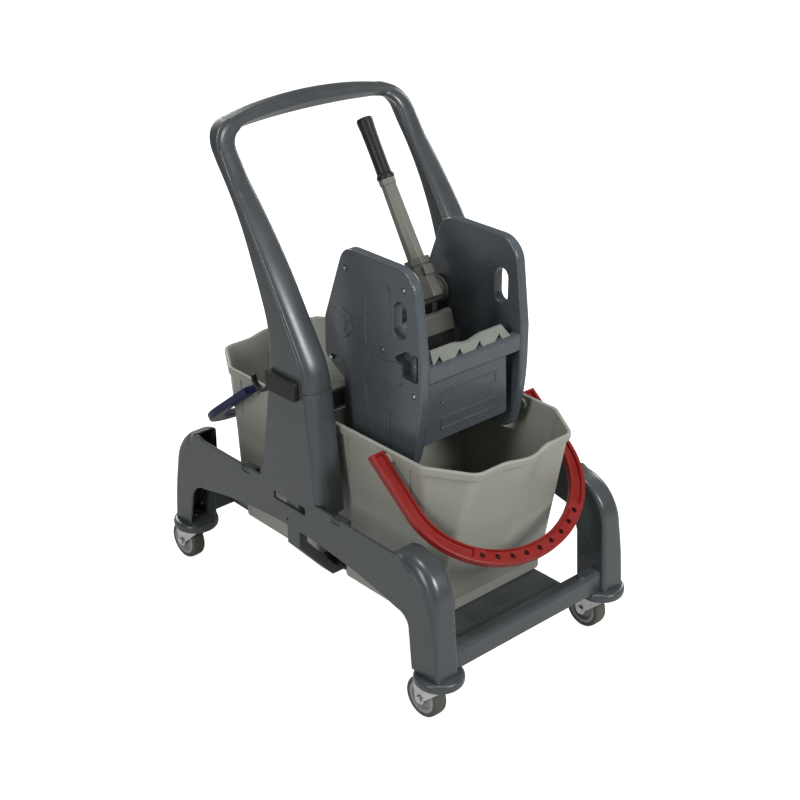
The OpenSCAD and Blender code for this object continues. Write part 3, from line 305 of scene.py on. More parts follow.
    def join(self, other):
        """Takes in the faces of another skin."""
        start = len(self.points)
        self.points += other.points
        self.faces += [tuple(i + start for i in f) for f in other.faces]


def piece(name, skin, slot, body, stands_for, sharp=40.0, finish=None):
    """Makes a Blender object of a skin, in its slot's own finish unless named, and puts it on its body."""
    mesh = bpy.data.meshes.new(name)
    mesh.from_pydata([(p.x * MM, (p.y + MODEL_Y) * MM, p.z * MM) for p in skin.points], [], skin.faces)
    work = bmesh.new()
    work.from_mesh(mesh)
    bmesh.ops.remove_doubles(work, verts=work.verts, dist=0.00001)
    bmesh.ops.dissolve_degenerate(work, edges=work.edges, dist=0.000005)
    bmesh.ops.recalc_face_normals(work, faces=work.faces)
    work.to_mesh(mesh)
    work.free()
    mesh.shade_smooth()
    mesh.set_sharp_from_angle(angle=radians(sharp))
    mesh.materials.append(FINISHES[finish or slot])
    made = bpy.data.objects.new(name, mesh)
    bpy.context.scene.collection.objects.link(made)
    even = made.modifiers.new("even_normals", "WEIGHTED_NORMAL")
    even.keep_sharp = True
    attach(made, body)
    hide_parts(*stands_for)


# Node groups shared by the finishes

FLOAT = "NodeSocketFloat"
COLOUR = "NodeSocketColor"


def start_effect(name, inputs, outputs):
    """Starts a node group, and gives its bench, its inputs and outputs and a place on the surface."""
    group = bpy.data.node_groups.new(name, "ShaderNodeTree")
    for label, kind, value in inputs:
        made = group.interface.new_socket(name=label, in_out="INPUT", socket_type=kind)
        made.default_value = value
    for label, kind in outputs:
        group.interface.new_socket(name=label, in_out="OUTPUT", socket_type=kind)
    b = Bench(group)
    given = b.node("NodeGroupInput").outputs
    out = b.node("NodeGroupOutput").inputs
    place = b.node("ShaderNodeTexCoord").outputs["Object"]
    return group, b, given, out, place


class Bench:
    """Adds nodes to a tree and links them by name."""

    def __init__(self, tree):
        self.tree = tree

    def node(self, kind, **settings):
        made = self.tree.nodes.new(kind)
        for key, value in settings.items():
            setattr(made, key, value)
        return made

    def link(self, source, target):
        self.tree.links.new(source, target)

    def feed(self, node, values):
        """Sets or links a node's inputs, by name or number."""
        for key, value in values.items():
            if hasattr(value, "is_output"):
                self.link(value, node.inputs[key])
            else:
                node.inputs[key].default_value = value
        return node

    def math(self, operation, a, b=0.0, clamp=False):
        made = self.node("ShaderNodeMath", operation=operation, use_clamp=clamp)
        return self.feed(made, {0: a, 1: b}).outputs[0]

    def noise(self, place, scale, detail=3.0, rough=0.55):
        values = {"Vector": place, "Scale": scale, "Detail": detail, "Roughness": rough}
        return self.feed(self.node("ShaderNodeTexNoise"), values).outputs["Fac"]

    def span(self, value, low, high, to_low=0.0, to_high=1.0):
        made = self.node("ShaderNodeMapRange")
        made.interpolation_type = "SMOOTHSTEP"
        values = {"Value": value, "From Min": low, "From Max": high, "To Min": to_low, "To Max": to_high}
        return self.feed(made, values).outputs["Result"]

    def blend(self, factor, a, b):
        made = self.node("ShaderNodeMix", data_type="RGBA")
        made.clamp_result = True
        self.feed(made, {0: factor, 6: a, 7: b})
        return made.outputs[2]


def moulding_flow():
    """Soft cloudy shade that moulded plastic has from the flow of the melt."""
    inputs = [("Colour", COLOUR, (0.5, 0.5, 0.5, 1)), ("Amount", FLOAT, 0.1),
              ("Scale", FLOAT, 9.0)]
    outputs = [("Colour", COLOUR), ("Cloud", FLOAT)]
    group, b, given, out, place = start_effect("moulding_flow", inputs, outputs)
    broad = b.noise(place, given["Scale"], 2.0)
    fine = b.noise(place, b.math("MULTIPLY", given["Scale"], 14.0), 3.0, 0.6)
    cloud = b.math("ADD", b.math("MULTIPLY", broad, 0.65), b.math("MULTIPLY", fine, 0.35))
    shift = b.math("MULTIPLY", b.math("SUBTRACT", cloud, 0.5), given["Amount"])
    gain = b.math("ADD", b.math("MULTIPLY", shift, 4.0), 1.0)
    tone = b.node("ShaderNodeVectorMath", operation="SCALE")
    b.feed(tone, {0: given["Colour"], "Scale": gain})
    b.link(tone.outputs[0], out["Colour"])
    b.link(cloud, out["Cloud"])
    return group


def mould_grain():
    """Fine spark-eroded grain of a mould, as a height."""
    inputs = [("Scale", FLOAT, 700.0)]
    group, b, given, out, place = start_effect("mould_grain", inputs, [("Height", FLOAT)])
    cells = b.node("ShaderNodeTexVoronoi", feature="SMOOTH_F1")
    b.feed(cells, {"Vector": place, "Scale": given["Scale"], "Smoothness": 0.6})
    dots = b.noise(place, b.math("MULTIPLY", given["Scale"], 0.7), 2.0)
    pits = b.math("MULTIPLY", cells.outputs["Distance"], 0.7)
    b.link(b.math("ADD", pits, b.math("MULTIPLY", dots, 0.6)), out["Height"])
    return group


def handling_marks():
    """Faint rubbed streaks and short scratches from use, as a mask."""
    inputs = [("Amount", FLOAT, 0.5)]
    group, b, given, out, place = start_effect("handling_marks", inputs, [("Marks", FLOAT)])
    turned = b.node("ShaderNodeMapping")
    b.feed(turned, {"Vector": place, "Rotation": (0.5, 0.3, 0.9), "Scale": (26.0, 240.0, 150.0)})
    lines = b.span(b.noise(turned.outputs[0], 1.0, 4.0, 0.65), 0.66, 0.74)
    crossed = b.node("ShaderNodeMapping")
    b.feed(crossed, {"Vector": place, "Rotation": (1.1, -0.6, 0.2), "Scale": (210.0, 24.0, 190.0)})
    more = b.span(b.noise(crossed.outputs[0], 1.0, 4.0, 0.65), 0.68, 0.76)
    where = b.span(b.noise(place, 11.0, 2.0), 0.48, 0.66)
    marks = b.math("MULTIPLY", b.math("MAXIMUM", lines, more), where)
    b.link(b.math("MULTIPLY", marks, given["Amount"], True), out["Marks"])
    return group


def settled_dust():
    """Pale film that settles where a surface faces up, as a mask."""
    inputs = [("Amount", FLOAT, 0.2)]
    group, b, given, out, place = start_effect("settled_dust", inputs, [("Dust", FLOAT)])
    normal = b.node("ShaderNodeSeparateXYZ")
    b.link(b.node("ShaderNodeNewGeometry").outputs["Normal"], normal.inputs[0])
    facing = b.span(normal.outputs["Z"], 0.3, 1.0)
    patch = b.span(b.noise(place, 24.0, 4.0, 0.6), 0.35, 0.7)
    film = b.math("MULTIPLY", facing, patch)
    b.link(b.math("MULTIPLY", film, given["Amount"], True), out["Dust"])
    return group


def zinc_bloom():
    """Cloudy crystals of zinc plating: a brightness and a roughness."""
    inputs = [("Scale", FLOAT, 260.0)]
    outputs = [("Shade", FLOAT), ("Rough", FLOAT)]
    group, b, given, out, place = start_effect("zinc_bloom", inputs, outputs)
    crystal = b.node("ShaderNodeTexVoronoi", feature="F1")
    b.feed(crystal, {"Vector": place, "Scale": given["Scale"]})
    tone = b.node("ShaderNodeSeparateColor")
    b.link(crystal.outputs["Color"], tone.inputs[0])
    stain = b.noise(place, 60.0, 4.0)
    bright = b.math("MULTIPLY", tone.outputs[0], 0.35)
    b.link(b.math("ADD", bright, b.math("MULTIPLY", stain, 0.65)), out["Shade"])
    b.link(b.span(stain, 0.3, 0.75, 0.26, 0.46), out["Rough"])
    return group


FLOW = moulding_flow()
GRAIN = mould_grain()
MARKS = handling_marks()
DUST = settled_dust()
ZINC = zinc_bloom()


def start_finish(name):
    finish = bpy.data.materials.new(name)
    finish.use_nodes = True
    b = Bench(finish.node_tree)
    return finish, b, finish.node_tree.nodes["Principled BSDF"]


def use(b, group, **values):
    """Places a node group with its own values."""
    return b.feed(b.node("ShaderNodeGroup", node_tree=group), values).outputs


def moulded(name, colour, rough, grain=700.0, depth=0.05, cloud=0.04, marks=0.2, dust=0.1, gloss=0.5):
    """Moulded plastic: clouded colour, mould grain, rubbed marks and a trace of dust."""
    finish, b, shader = start_finish(name)
    flow = use(b, FLOW, Colour=(*colour, 1), Amount=cloud)
    rubbed = use(b, MARKS, Amount=marks)["Marks"]
    film = use(b, DUST, Amount=dust)["Dust"]
    pale = tuple(min(1.0, c * 1.7 + 0.02) for c in colour)
    worn = b.blend(b.math("MULTIPLY", rubbed, 0.35), flow["Colour"], (*pale, 1))
    b.link(b.blend(film, worn, (0.42, 0.41, 0.38, 1)), shader.inputs["Base Color"])
    cloudy = b.span(flow["Cloud"], 0.3, 0.7, rough - 0.05, rough + 0.06)
    dull = b.math("ADD", cloudy, b.math("MULTIPLY", film, 0.5))
    b.link(b.math("ADD", dull, b.math("MULTIPLY", rubbed, 0.12), True), shader.inputs["Roughness"])
    bump = b.node("ShaderNodeBump")
    height = b.math("SUBTRACT", use(b, GRAIN, Scale=grain)["Height"], b.math("MULTIPLY", rubbed, 0.2))
    b.feed(bump, {"Height": height, "Strength": depth, "Distance": 0.0004})
    b.link(bump.outputs[0], shader.inputs["Normal"])
    shader.inputs["Specular IOR Level"].default_value = gloss
    return finish


def plated(name, colour):
    """Zinc-plated pressed steel."""
    finish, b, shader = start_finish(name)
    bloom = use(b, ZINC)
    rubbed = use(b, MARKS, Amount=0.8)["Marks"]
    dark = tuple(c * 0.72 for c in colour)
    tone = b.blend(bloom["Shade"], (*dark, 1), (*colour, 1))
    b.link(b.blend(b.math("MULTIPLY", rubbed, 0.4), tone, (0.8, 0.8, 0.78, 1)), shader.inputs["Base Color"])
    b.link(b.math("ADD", bloom["Rough"], b.math("MULTIPLY", rubbed, 0.15), True), shader.inputs["Roughness"])
    shader.inputs["Metallic"].default_value = 1.0
    bump = b.node("ShaderNodeBump")
    b.feed(bump, {"Height": bloom["Shade"], "Strength": 0.12, "Distance": 0.0002})
    b.link(bump.outputs[0], shader.inputs["Normal"])
    return finish


# Colour, roughness and what else differs from the usual moulding
SATIN = {"depth": 0.02, "cloud": 0.03, "marks": 0.05, "dust": 0.03}
TREAD = {"grain": 420.0, "depth": 0.5, "cloud": 0.12, "marks": 0.7, "dust": 0.35, "gloss": 0.35}
MOULDED = {
    "frame_plastic": ((0.0395, 0.0458, 0.0488), 0.30, SATIN),
    "press_plastic": ((0.056, 0.066, 0.076), 0.28, SATIN),
    "bucket_plastic": ((0.245, 0.250, 0.215), 0.40, {"cloud": 0.03}),
    "grey_plastic": ((0.150, 0.162, 0.143), 0.42, {"cloud": 0.03}),
    "lever_plastic": ((0.120, 0.124, 0.103), 0.40, {}),
    "rest_plastic": ((0.075, 0.074, 0.064), 0.40, {"dust": 0.05}),
    "black_plastic": ((0.0095, 0.009, 0.0082), 0.42, {"depth": 0.06, "dust": 0.04, "gloss": 0.25}),
    "red_plastic": ((0.180, 0.0088, 0.0065), 0.34, {"dust": 0.02, "gloss": 0.3}),
    "navy_plastic": ((0.010, 0.014, 0.050), 0.46, {"dust": 0.0, "gloss": 0.15}),
    "hub_plastic": ((0.26, 0.26, 0.27), 0.45, {"depth": 0.25, "cloud": 0.05, "marks": 0.5, "dust": 0.15}),
    "tyre_rubber": ((0.075, 0.070, 0.058), 0.62, TREAD),
}
FINISHES = {name: moulded(name, colour, rough, **rest) for name, (colour, rough, rest) in MOULDED.items()}
FINISHES["zinc_steel"] = plated("zinc_steel", (0.66, 0.67, 0.66))


def dress_node(name, slot, edge, finish=None):
    """Keeps a CAD node and gives it a finish, its slot's own unless named, and rounded edges."""
    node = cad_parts[name]
    node.data.materials.clear()
    node.data.materials.append(FINISHES[finish or slot])
    weld = node.modifiers.new("weld", "WELD")
    weld.merge_threshold = 0.00002
    plain = node.modifiers.new("plain_faces", "DECIMATE")
    plain.decimate_type = "DISSOLVE"
    plain.angle_limit = radians(1.0)
    if edge > 0:
        soft = node.modifiers.new("soft_edges", "BEVEL")
        soft.width = edge * MM
        soft.segments = 3
        soft.limit_method = "ANGLE"
        soft.angle_limit = radians(35)
        soft.harden_normals = False
    even = node.modifiers.new("even_normals", "WEIGHTED_NORMAL")
    even.keep_sharp = True
    node.data.shade_smooth()


# Side frames

def side_x(z):
    """Outer face of a side frame at a height."""
    return PANEL_X - tan(SIDE_LEAN) * (z - LEG_Z)


def hood_points():
    """Outer edge of the front leg, from the foot over the arched top down to the beam."""
    foot, spring = Vector((-HALF_L, LEG_Z)), Vector((-HOOD_Y - HOOD_R, HOOD_Z - HOOD_R))
    line = [foot.lerp(spring, i / 6) for i in range(6)]
    line += [Vector(p) for p in arc((-HOOD_Y, HOOD_Z - HOOD_R), HOOD_R, 180, 90, 28)]
    top, end = Vector((-HOOD_Y, HOOD_Z)), Vector((-HOOD_Y + HOOD_RUN, BEAM_Z))
    lead = top + Vector((0.45 * HOOD_RUN, 0))
    for i in range(1, 6):
        t = i / 5
        line.append((1 - t) ** 2 * top + 2 * t * (1 - t) * lead + t * t * end)
    return line


def inward(line, i):
    """Normal to the right of an upward line at its i-th point."""
    run = (line[min(i + 1, len(line) - 1)] - line[max(i - 1, 0)]).normalized()
    return Vector((run.y, -run.x))


def hood_end(end):
    """Where the hood ends toward the middle: early at the rear, at the beam's slope in front."""
    return REAR_HOOD_END if end > 0 else -HOOD_Y + HOOD_RUN


def hood_radius(p, stop):
    """Radius of the leg's outer edge: tight at the foot, full over the top, tight where the hood ends."""
    full = 5 + 15 * ramp(150, 290, p.y)
    return mix(full, 2.5, ramp(stop - 26, stop, p.x))


def wall_reach(p, n, stop):
    """How deep the leg's inner wall runs behind a point of its edge."""
    best = 90.0
    foot = -HALF_L + LEG_D
    eave = 228 if stop == REAR_HOOD_END else BEAM_Z
    bounds = [Vector(c) for c in [(foot, LEG_Z - 20), (foot + 8, 200), (stop, eave), (stop, HOOD_Z)]]
    for a, b in zip(bounds, bounds[1:]):
        run = b - a
        cross = n.x * run.y - n.y * run.x
        if abs(cross) < 1e-6:
            continue
        off = a - p
        reach = (off.x * run.y - off.y * run.x) / cross
        along = (off.x * n.y - off.y * n.x) / cross
        if reach > 0 and -0.02 <= along <= 1.02:
            best = min(best, reach)
    return max(best, 13.0)


def leg_hood(skin, end):
    """Hollow leg with a rounded outer edge, at the front (-1) or the rear (1) of the right side."""
    stop = hood_end(end)
    line = [p for p in hood_points() if p.x < stop - 1]
    if end > 0:
        line.append(Vector((stop, HOOD_Z - HOOD_R + sqrt(HOOD_R ** 2 - (stop + HOOD_Y) ** 2))))
    gap, r_in, wall = 1.0, 8.0, FRAME_WALL
    outer_angles = [radians(15 * k) for k in range(7)]
    inner_angles = [radians(22.5 * k) for k in range(5)]
    rings = []
    for i, p in enumerate(line):
        n = inward(line, i)
        r = hood_radius(p, stop)
        thin = max(r - wall, 1.0)
        width = side_x(p.y) - LEG_IN
        reach = wall_reach(p, n, stop)
        path = [(gap, r + 8)]
        path += [(gap + r * (1 - cos(a)), r * (1 - sin(a))) for a in outer_angles]
        path += [(width - r_in + r_in * sin(a), r_in * (1 - cos(a))) for a in inner_angles]
        path += [(width, reach), (width - wall, reach)]
        path += [(width - r_in + (r_in - wall) * sin(a), wall + (r_in - wall) * (1 - cos(a)))
                 for a in reversed(inner_angles)]
        path += [(gap + wall + thin * (1 - cos(a)), wall + thin * (1 - sin(a)))
                 for a in reversed(outer_angles)]
        path += [(gap + wall, r + 8)]
        ring = []
        for depth, deep in path:
            q = p + n * deep
            q.x = min(q.x, stop)
            q.y = max(q.y, LEG_Z)
            x = side_x(q.y) - depth if depth < width / 2 else LEG_IN + width - depth
            ring.append((x, -end * q.x, q.y))
        rings.append(ring)
    skin.loft(rings)
    low, high = sorted((end * (HALF_L - 1.5), end * (HALF_L - LEG_D)))
    skin.brick((LEG_IN, low, LEG_Z), (side_x(LEG_Z) - 1.5, high, LEG_Z + 4), 1.5)


def beam_notch(y):
    """Square notch in the beam's upper edge."""
    half, low = 10.0, BEAM_Z - NOTCH_DEPTH
    return [Vector(p) for p in [(y - half, BEAM_Z), (y - half, low), (y + half, low), (y + half, BEAM_Z)]]


def panel_loop():
    """Outline of a side panel, anticlockwise, inside the rounded leg edges."""
    line = hood_points()
    legs = []
    for end in (-1, 1):
        stop = hood_end(end)
        edge = []
        for i, p in enumerate(line):
            depth = mix(hood_radius(p, stop) - 0.5, 0.0, ramp(stop - 2, stop + 6, p.x))
            edge.append(p + inward(line, i) * depth)
        edge[0].y = LEG_Z
        legs.append(edge)
    rear = [Vector((-p.x, p.y)) for p in reversed(legs[1])]
    tower_top, fillet = SEAM_Z - 0.5, 10.0
    tower_edge = [(TOWER_FRONT - TOWER_SLANT, BEAM_Z), (TOWER_FRONT, tower_top), (TOWER_REAR, tower_top)]
    tower_edge += arc((TOWER_REAR + TOWER_SPREAD + fillet, BEAM_Z + fillet), fillet, 180, 270, 8)
    arch_front, arch_rear, arch_z, arch_rise = -270.0, 265.0, 200.0, 33.0
    front_r, rear_r = 28.0, 45.0
    under = [(HALF_L - REAR_LEG_D, LEG_Z)] + arc((arch_rear, arch_z - rear_r), rear_r, 0, 90, 8)
    for i in range(1, 16):
        t = i / 16
        under.append((mix(arch_rear, arch_front, t), arch_z + arch_rise * (1 - (2 * t - 1) ** 2)))
    under += arc((arch_front, arch_z - front_r), front_r, 90, 180, 8) + [(-HALF_L + LEG_D, LEG_Z)]
    front_notch, rear_notch = [beam_notch(y) for y in NOTCHES]
    tower_edge, under = [[Vector(p) for p in part] for part in (tower_edge, under)]
    return list(reversed(legs[0] + front_notch + tower_edge + rear_notch + rear + under))


def tower(skin):
    """Tower under the push handle, with a rounded front and a domed foot behind the beam."""
    foot_z = DOME_Z - DOME_DEPTH
    heights = [foot_z, 278.5, 281.5, 286, 292, 298, 305.5, 306.5, 309, 313, 318, 325, 335, 350, 375, 410,
               450, 480, SEAM_Z - 1.2, SEAM_Z - 0.4]
    quarter = [radians(22.5 * k) for k in range(5)]
    edge, shallow = 4.0, 0.85
    rings = []
    for z in heights:
        crease = TOWER_FRONT + (z - SEAM_Z) * TOWER_SLANT / (SEAM_Z - BEAM_Z)
        rear = TOWER_REAR + TOWER_TAPER * (SEAM_Z - z) if z > BEAM_Z else crease + 27
        dome = sqrt(1 - (max(0.0, DOME_Z - z) / DOME_DEPTH) ** 2)
        bulge = TOWER_BULGE * (0.2 + 0.8 * dome)
        out = side_x(z) - (1.0 if z > BEAM_Z + 2 else 6.0)
        corner = [(edge * (1 - cos(a)), rear - edge * (1 - sin(a))) for a in quarter]
        middle, half = (out + TOWER_IN) / 2, (out - TOWER_IN) / 2
        ring = [(out - x, y) for x, y in reversed(corner)] + [(out, crease + 6)]
        for k in range(17):
            a = pi * k / 16
            across = copysign(abs(cos(a)) ** shallow, cos(a))
            ring.append((middle + half * across, crease - bulge * sin(a) ** shallow))
        ring += [(TOWER_IN, crease + 6)] + [(TOWER_IN + x, y) for x, y in corner]
        tuck = 0.8 if z > SEAM_Z - 1 else 0.0
        centre_y = (crease + rear) / 2
        rings.append([(x + copysign(tuck, middle - x), y + copysign(tuck, centre_y - y), z)
                      for x, y in ring])
    skin.loft(rings)


def side_frame():
    """Right side frame: panel, hollow legs, tower and the blocks behind the beam's notches."""
    skin = Skin()
    slot = rounded([(-34.5, 273.5), (52.5, 273.5), (52.5, 288), (-34.5, 288)], 4)
    dot = arc((15, 245), 2.4, 0, 330, 11)
    skin.slab(panel_loop(), lambda u, v, d: (side_x(v) - d, u, v), PANEL_THICK, 2.2, [slot, dot], 0.8)
    for end in (-1, 1):
        leg_hood(skin, end)
    tower(skin)
    for y in NOTCHES:
        skin.brick((206, y - 15, BEAM_Z - 22), (226, y + 15, BEAM_Z - 5), 1.5)
    return skin


# Push handle

HANDLE_FOOT_X = 226.8
STRAIGHT_Z = 700.0
BAR_OUT, BAR_OUT_R, BAR_OUT_CROWN = Vector((169.5, 861.0)), 49.0, 16.0
BAR_IN, BAR_IN_R, BAR_IN_CROWN = Vector((155.5, 866.0)), 25.0, 5.0
BAR_UNDERCUT = 23.0
BAR_REAR_Y = 240.9


def smooth_edge(y, z, stretches, last_lean):
    """Start, lean and radius of each stretch of an edge that leaves (y, z) upright.

    A stretch is an arc, (radius, lean at its end in degrees), or a straight run, (0, height of its end).
    """
    edge, lean = [], 0.0
    for radius, goal in stretches:
        edge.append((z, y, lean, radius))
        if radius:
            turned = radians(goal)
            y += radius * (cos(lean) - cos(turned))
            z += radius * (sin(turned) - sin(lean))
            lean = turned
        else:
            y += (goal - z) * tan(lean)
            z = goal
    return edge + [(z, y, radians(last_lean), 0)]


def edge_y(edge, z):
    """Where an edge is at a height."""
    start, y, lean, radius = [s for s in edge if s[0] < z or s is edge[0]][-1]
    rise = max(0.0, z - start)
    if radius:
        return y + radius * (cos(lean) - sqrt(1 - (sin(lean) + rise / radius) ** 2))
    return y + rise * tan(lean)


HANDLE_FRONT = smooth_edge(-51.0, 507.0, [(110, 31), (0, 640), (1300, 41)], 32)
HANDLE_REAR = smooth_edge(TOWER_REAR, 562.0, [(200, 20.5), (0, 665), (586, 41)], 36.3647)


def handle_spans():
    """Outer and inner points of the right half of the handle, from its foot to the middle of the bar."""
    spans = []
    foot_z = SEAM_Z + 0.4
    for i in range(26):
        t = i / 26
        outer_z = mix(foot_z, BAR_OUT.y, t)
        drawn_in = max(0.0, outer_z - STRAIGHT_Z) / (BAR_OUT.y - STRAIGHT_Z)
        outer = Vector((mix(HANDLE_FOOT_X, BAR_OUT.x + BAR_OUT_R, drawn_in), outer_z))
        inner = Vector((mix(TOWER_IN, BAR_IN.x + BAR_IN_R, t), mix(foot_z, BAR_IN.y, t)))
        spans.append((outer, inner))
    for i in range(13):
        a = radians(90 * i / 12)
        out = Vector((cos(a), sin(a)))
        spans.append((BAR_OUT + BAR_OUT_R * out, BAR_IN + BAR_IN_R * out))
    for i in range(1, 13):
        t = 1 - i / 12
        crown = 1 - t * t
        outer = Vector((BAR_OUT.x * t, BAR_OUT.y + BAR_OUT_R + BAR_OUT_CROWN * crown))
        inner = Vector((BAR_IN.x * t, BAR_IN.y + BAR_IN_R + BAR_IN_CROWN * crown))
        spans.append((outer, inner))
    return spans


def handle_ring(outer, inner):
    """Section across the handle: rounded front, which is cut back under the bar, and round rear edges."""
    thick = (outer - inner).length
    across_bar = ramp(190, 90, abs(outer.x))
    bulge = mix(TOWER_BULGE, 9, ramp(540, 720, outer.y))
    bulge = mix(bulge, 12, across_bar)
    full = mix(2.2, 3.4, across_bar)
    r = mix(8, 11, across_bar)
    quarter = [radians(22.5 * k) for k in range(5)]
    corner = [(r * (1 - cos(a)), r * (1 - sin(a))) for a in quarter]
    marks = [(s, "rear", back) for s, back in reversed(corner)]
    marks += [(0, "mid", 0.5), (0, "front", bulge + 1.6), (0.5, "front", bulge + 0.5), (1.8, "front", bulge)]
    half = thick / 2 - 1.8

    def undercut(s, back):
        steep = BAR_UNDERCUT * (s / thick - 0.5) / 0.5
        return mix(back, steep, ramp(186, 150, abs(outer.x))) if s > thick / 2 else back

    for k in range(1, 16):
        a = pi * k / 16
        s = thick / 2 - half * copysign(abs(cos(a)) ** (2 / full), cos(a))
        marks.append((s, "front", undercut(s, bulge * (1 - sin(a) ** (2 / full)))))
    lip = [(1.8, 0), (0.5, 0.5), (0, 1.6)]
    marks += [(thick - s, "front", undercut(thick - s, bulge) + back) for s, back in lip]
    marks.append((thick, "mid", 0.5))
    marks += [(thick - s, "rear", back) for s, back in corner]
    ring = []
    for s, edge, offset in marks:
        p = outer.lerp(inner, s / thick)
        front, rear = edge_y(HANDLE_FRONT, p.y), min(edge_y(HANDLE_REAR, p.y), BAR_REAR_Y)
        if edge == "front":
            y = front + offset
        elif edge == "rear":
            y = rear - offset
        else:
            y = mix(front + bulge, rear, offset)
        ring.append((p.x, y, p.y))
    return ring


def push_handle():
    """U-shaped push handle: its right half and the mirror image."""
    half = [handle_ring(outer, inner) for outer, inner in handle_spans()]
    other = [[(-x, y, z) for x, y, z in ring] for ring in reversed(half[:-1])]
    return Skin().loft(half + other)


# Buckets

BAIL_V = 177.0
BAIL_Z = 415.3
WALL_LOW_Z = 145.3
BUCKET_WALL = 3.0
SLITS = (68.0, 225.0)
SLIT_HALF = 2.0
SLIT_LOW, SLIT_TOP = 342.3, 416.3

# Sizes of the sloping wall at its foot and at the rim
WALL_W = (147.0, 157.0)
WALL_BACK = (31.0, 5.0)
NOSE_V = (257.0, 333.0)
NOSE_X = (133.0, 108.5)
CORNER_V = (243.0, 253.0)
CORNER_R = (16.0, 22.0)
NOSE_R = (10.0, 26.0)


def bucket_half(z, d):
    """Right half of a bucket's wall at height z and distance d outside it, from the inner rim to the nose."""
    t = (z - WALL_LOW_Z) / (RIM_Z - WALL_LOW_Z)
    x = mix(*WALL_W, t) + d
    v0 = mix(*WALL_BACK, t) - d
    nose_v = mix(*NOSE_V, t) + d
    nose_x = mix(*NOSE_X, t) + 0.4 * d
    corner_v = mix(*CORNER_V, t) + 0.25 * d
    r_in = mix(*CORNER_R, t) + d
    soft = mix(*NOSE_R, t)
    line = [Vector((x * k / 4 * 0.82, v0)) for k in range(4)]
    corner = rounded([(0, v0), (x, v0), (x, corner_v), (nose_x, nose_v), (0, nose_v)],
                     [0, r_in, soft, soft, 0], 6)
    line += corner[1:8]
    slit_marks = [s + off for s in SLITS for off in (-5.0, -2.1, -1.9, 1.9, 2.1, 5.0)]
    side_marks = sorted(slit_marks + [110.0, 147.0, 185.0])
    line += [Vector((x, v)) for v in side_marks if v > corner[7].y + 1]
    line += corner[8:22]
    for k in range(1, 13):
        line.append(Vector((corner[21].x * (1 - k / 12), nose_v)))
    swell = 14 * t * ramp(178, 240, z)
    half = mix(30, 54, ramp(178, 330, z)) + d
    for i, p in enumerate(line):
        if p.y > nose_v - 1 and abs(p.x) < half:
            line[i] = Vector((p.x, p.y + swell * (0.5 + 0.5 * cos(pi * p.x / half)) ** 0.8))
    return line


def whole_ring(half, z, end):
    """Closed ring of a bucket at a height, from its right half."""
    whole = half + [Vector((-p.x, p.y)) for p in reversed(half[1:-1])]
    return [(p.x, RIM_Y[end] + end * p.y, z) for p in whole]


def wall_ring(z, d, end, slit=False):
    """Ring of the wall, perhaps with the two upright slits in each side."""
    half = bucket_half(z, d)
    if slit:
        half = [Vector((p.x - 1.5, p.y))
                if p.x > 120 and any(abs(p.y - s) < SLIT_HALF for s in SLITS) else p for p in half]
    return whole_ring(half, z, end)


def foot_ring(z, d, end):
    """Ring of the foot with as many points as a ring of the wall."""
    return whole_ring(bucket_half(WALL_LOW_Z, d - 4), z, end)


def bucket(end):
    """Front (-1) or rear (1) bucket, with the pivots of its bail and the ledges inside. Rings are (z, d)."""
    foot = [(BUCKET_Z, -5), (BUCKET_Z + 1.5, -1.5), (BUCKET_Z + 5, 0), (WALL_LOW_Z - 4, 0),
            (WALL_LOW_Z - 1.5, 0.6)]
    wall = [(WALL_LOW_Z, -1.2), (WALL_LOW_Z + 2.5, 0)]
    wall += [(z, 0) for z in [160, 178, 190, 202, 216, 232, 250, 275, 300, 325, SLIT_LOW - 0.3]]
    rim = [(SLIT_TOP - 0.3, 0), (417.3, 0.4), (417.6, 3.4), (418.2, 4.6), (419.4, 5.0), (428.6, 5.0),
           (430.6, 4.6), (431.8, 3.4), (RIM_Z, 1.6), (RIM_Z, -0.4), (431.6, -2.2), (430.0, -3.0)]
    inside = [(z, -BUCKET_WALL) for z in [415, 380, 340, 300, 250, 216, 190, 170, 156]]
    inside += [(150, -BUCKET_WALL - 0.6), (147, -BUCKET_WALL - 2.5), (144, -BUCKET_WALL - 4.2)]
    rings = [foot_ring(z, d, end) for z, d in foot]
    rings += [wall_ring(z, d, end) for z, d in wall]
    rings += [wall_ring(z, 0, end, slit=True) for z in [SLIT_LOW, 360, 380, 400, SLIT_TOP - 0.6]]
    rings += [wall_ring(z, d, end) for z, d in rim + inside]
    rings += [foot_ring(z, d, end) for z, d in [(130, -3), (124, -5), (121.3, -9)]]
    skin = Skin()
    skin.loft(rings)
    part = Skin()
    pivot = (0, RIM_Y[end] + end * BAIL_V, BAIL_Z)
    part.lathe([(0, 150), (11, 150), (11, 163.0), (10.2, 164.2), (9, 164.5), (0, 164.5)], pivot, (1, 0, 0))
    part.lathe([(0, 160), (4.95, 160), (4.95, 169.0), (4.0, 170.0), (0, 170.0)], pivot, (1, 0, 0), 24)
    ledge = rounded([(112, 387.3), (112, 381.3), (151, 359.3), (155, 387.3)], 2)
    low, high = sorted((RIM_Y[end] + end * 63, RIM_Y[end] + end * 168))
    part.slab(ledge, lambda u, v, d: (u, high - d, v), high - low, 1.0)
    skin.join(part)
    skin.join(part.mirrored())
    return skin


# Press

PLATE_OUT = 125.0
PLATE_IN = 105.0
SIDE_SCREWS = [(-173, 315), (-28, 312), (-123, 197), (-198, 138), (12, 138)]
SHAFT_Y, SHAFT_UP = -16.0, 212.0


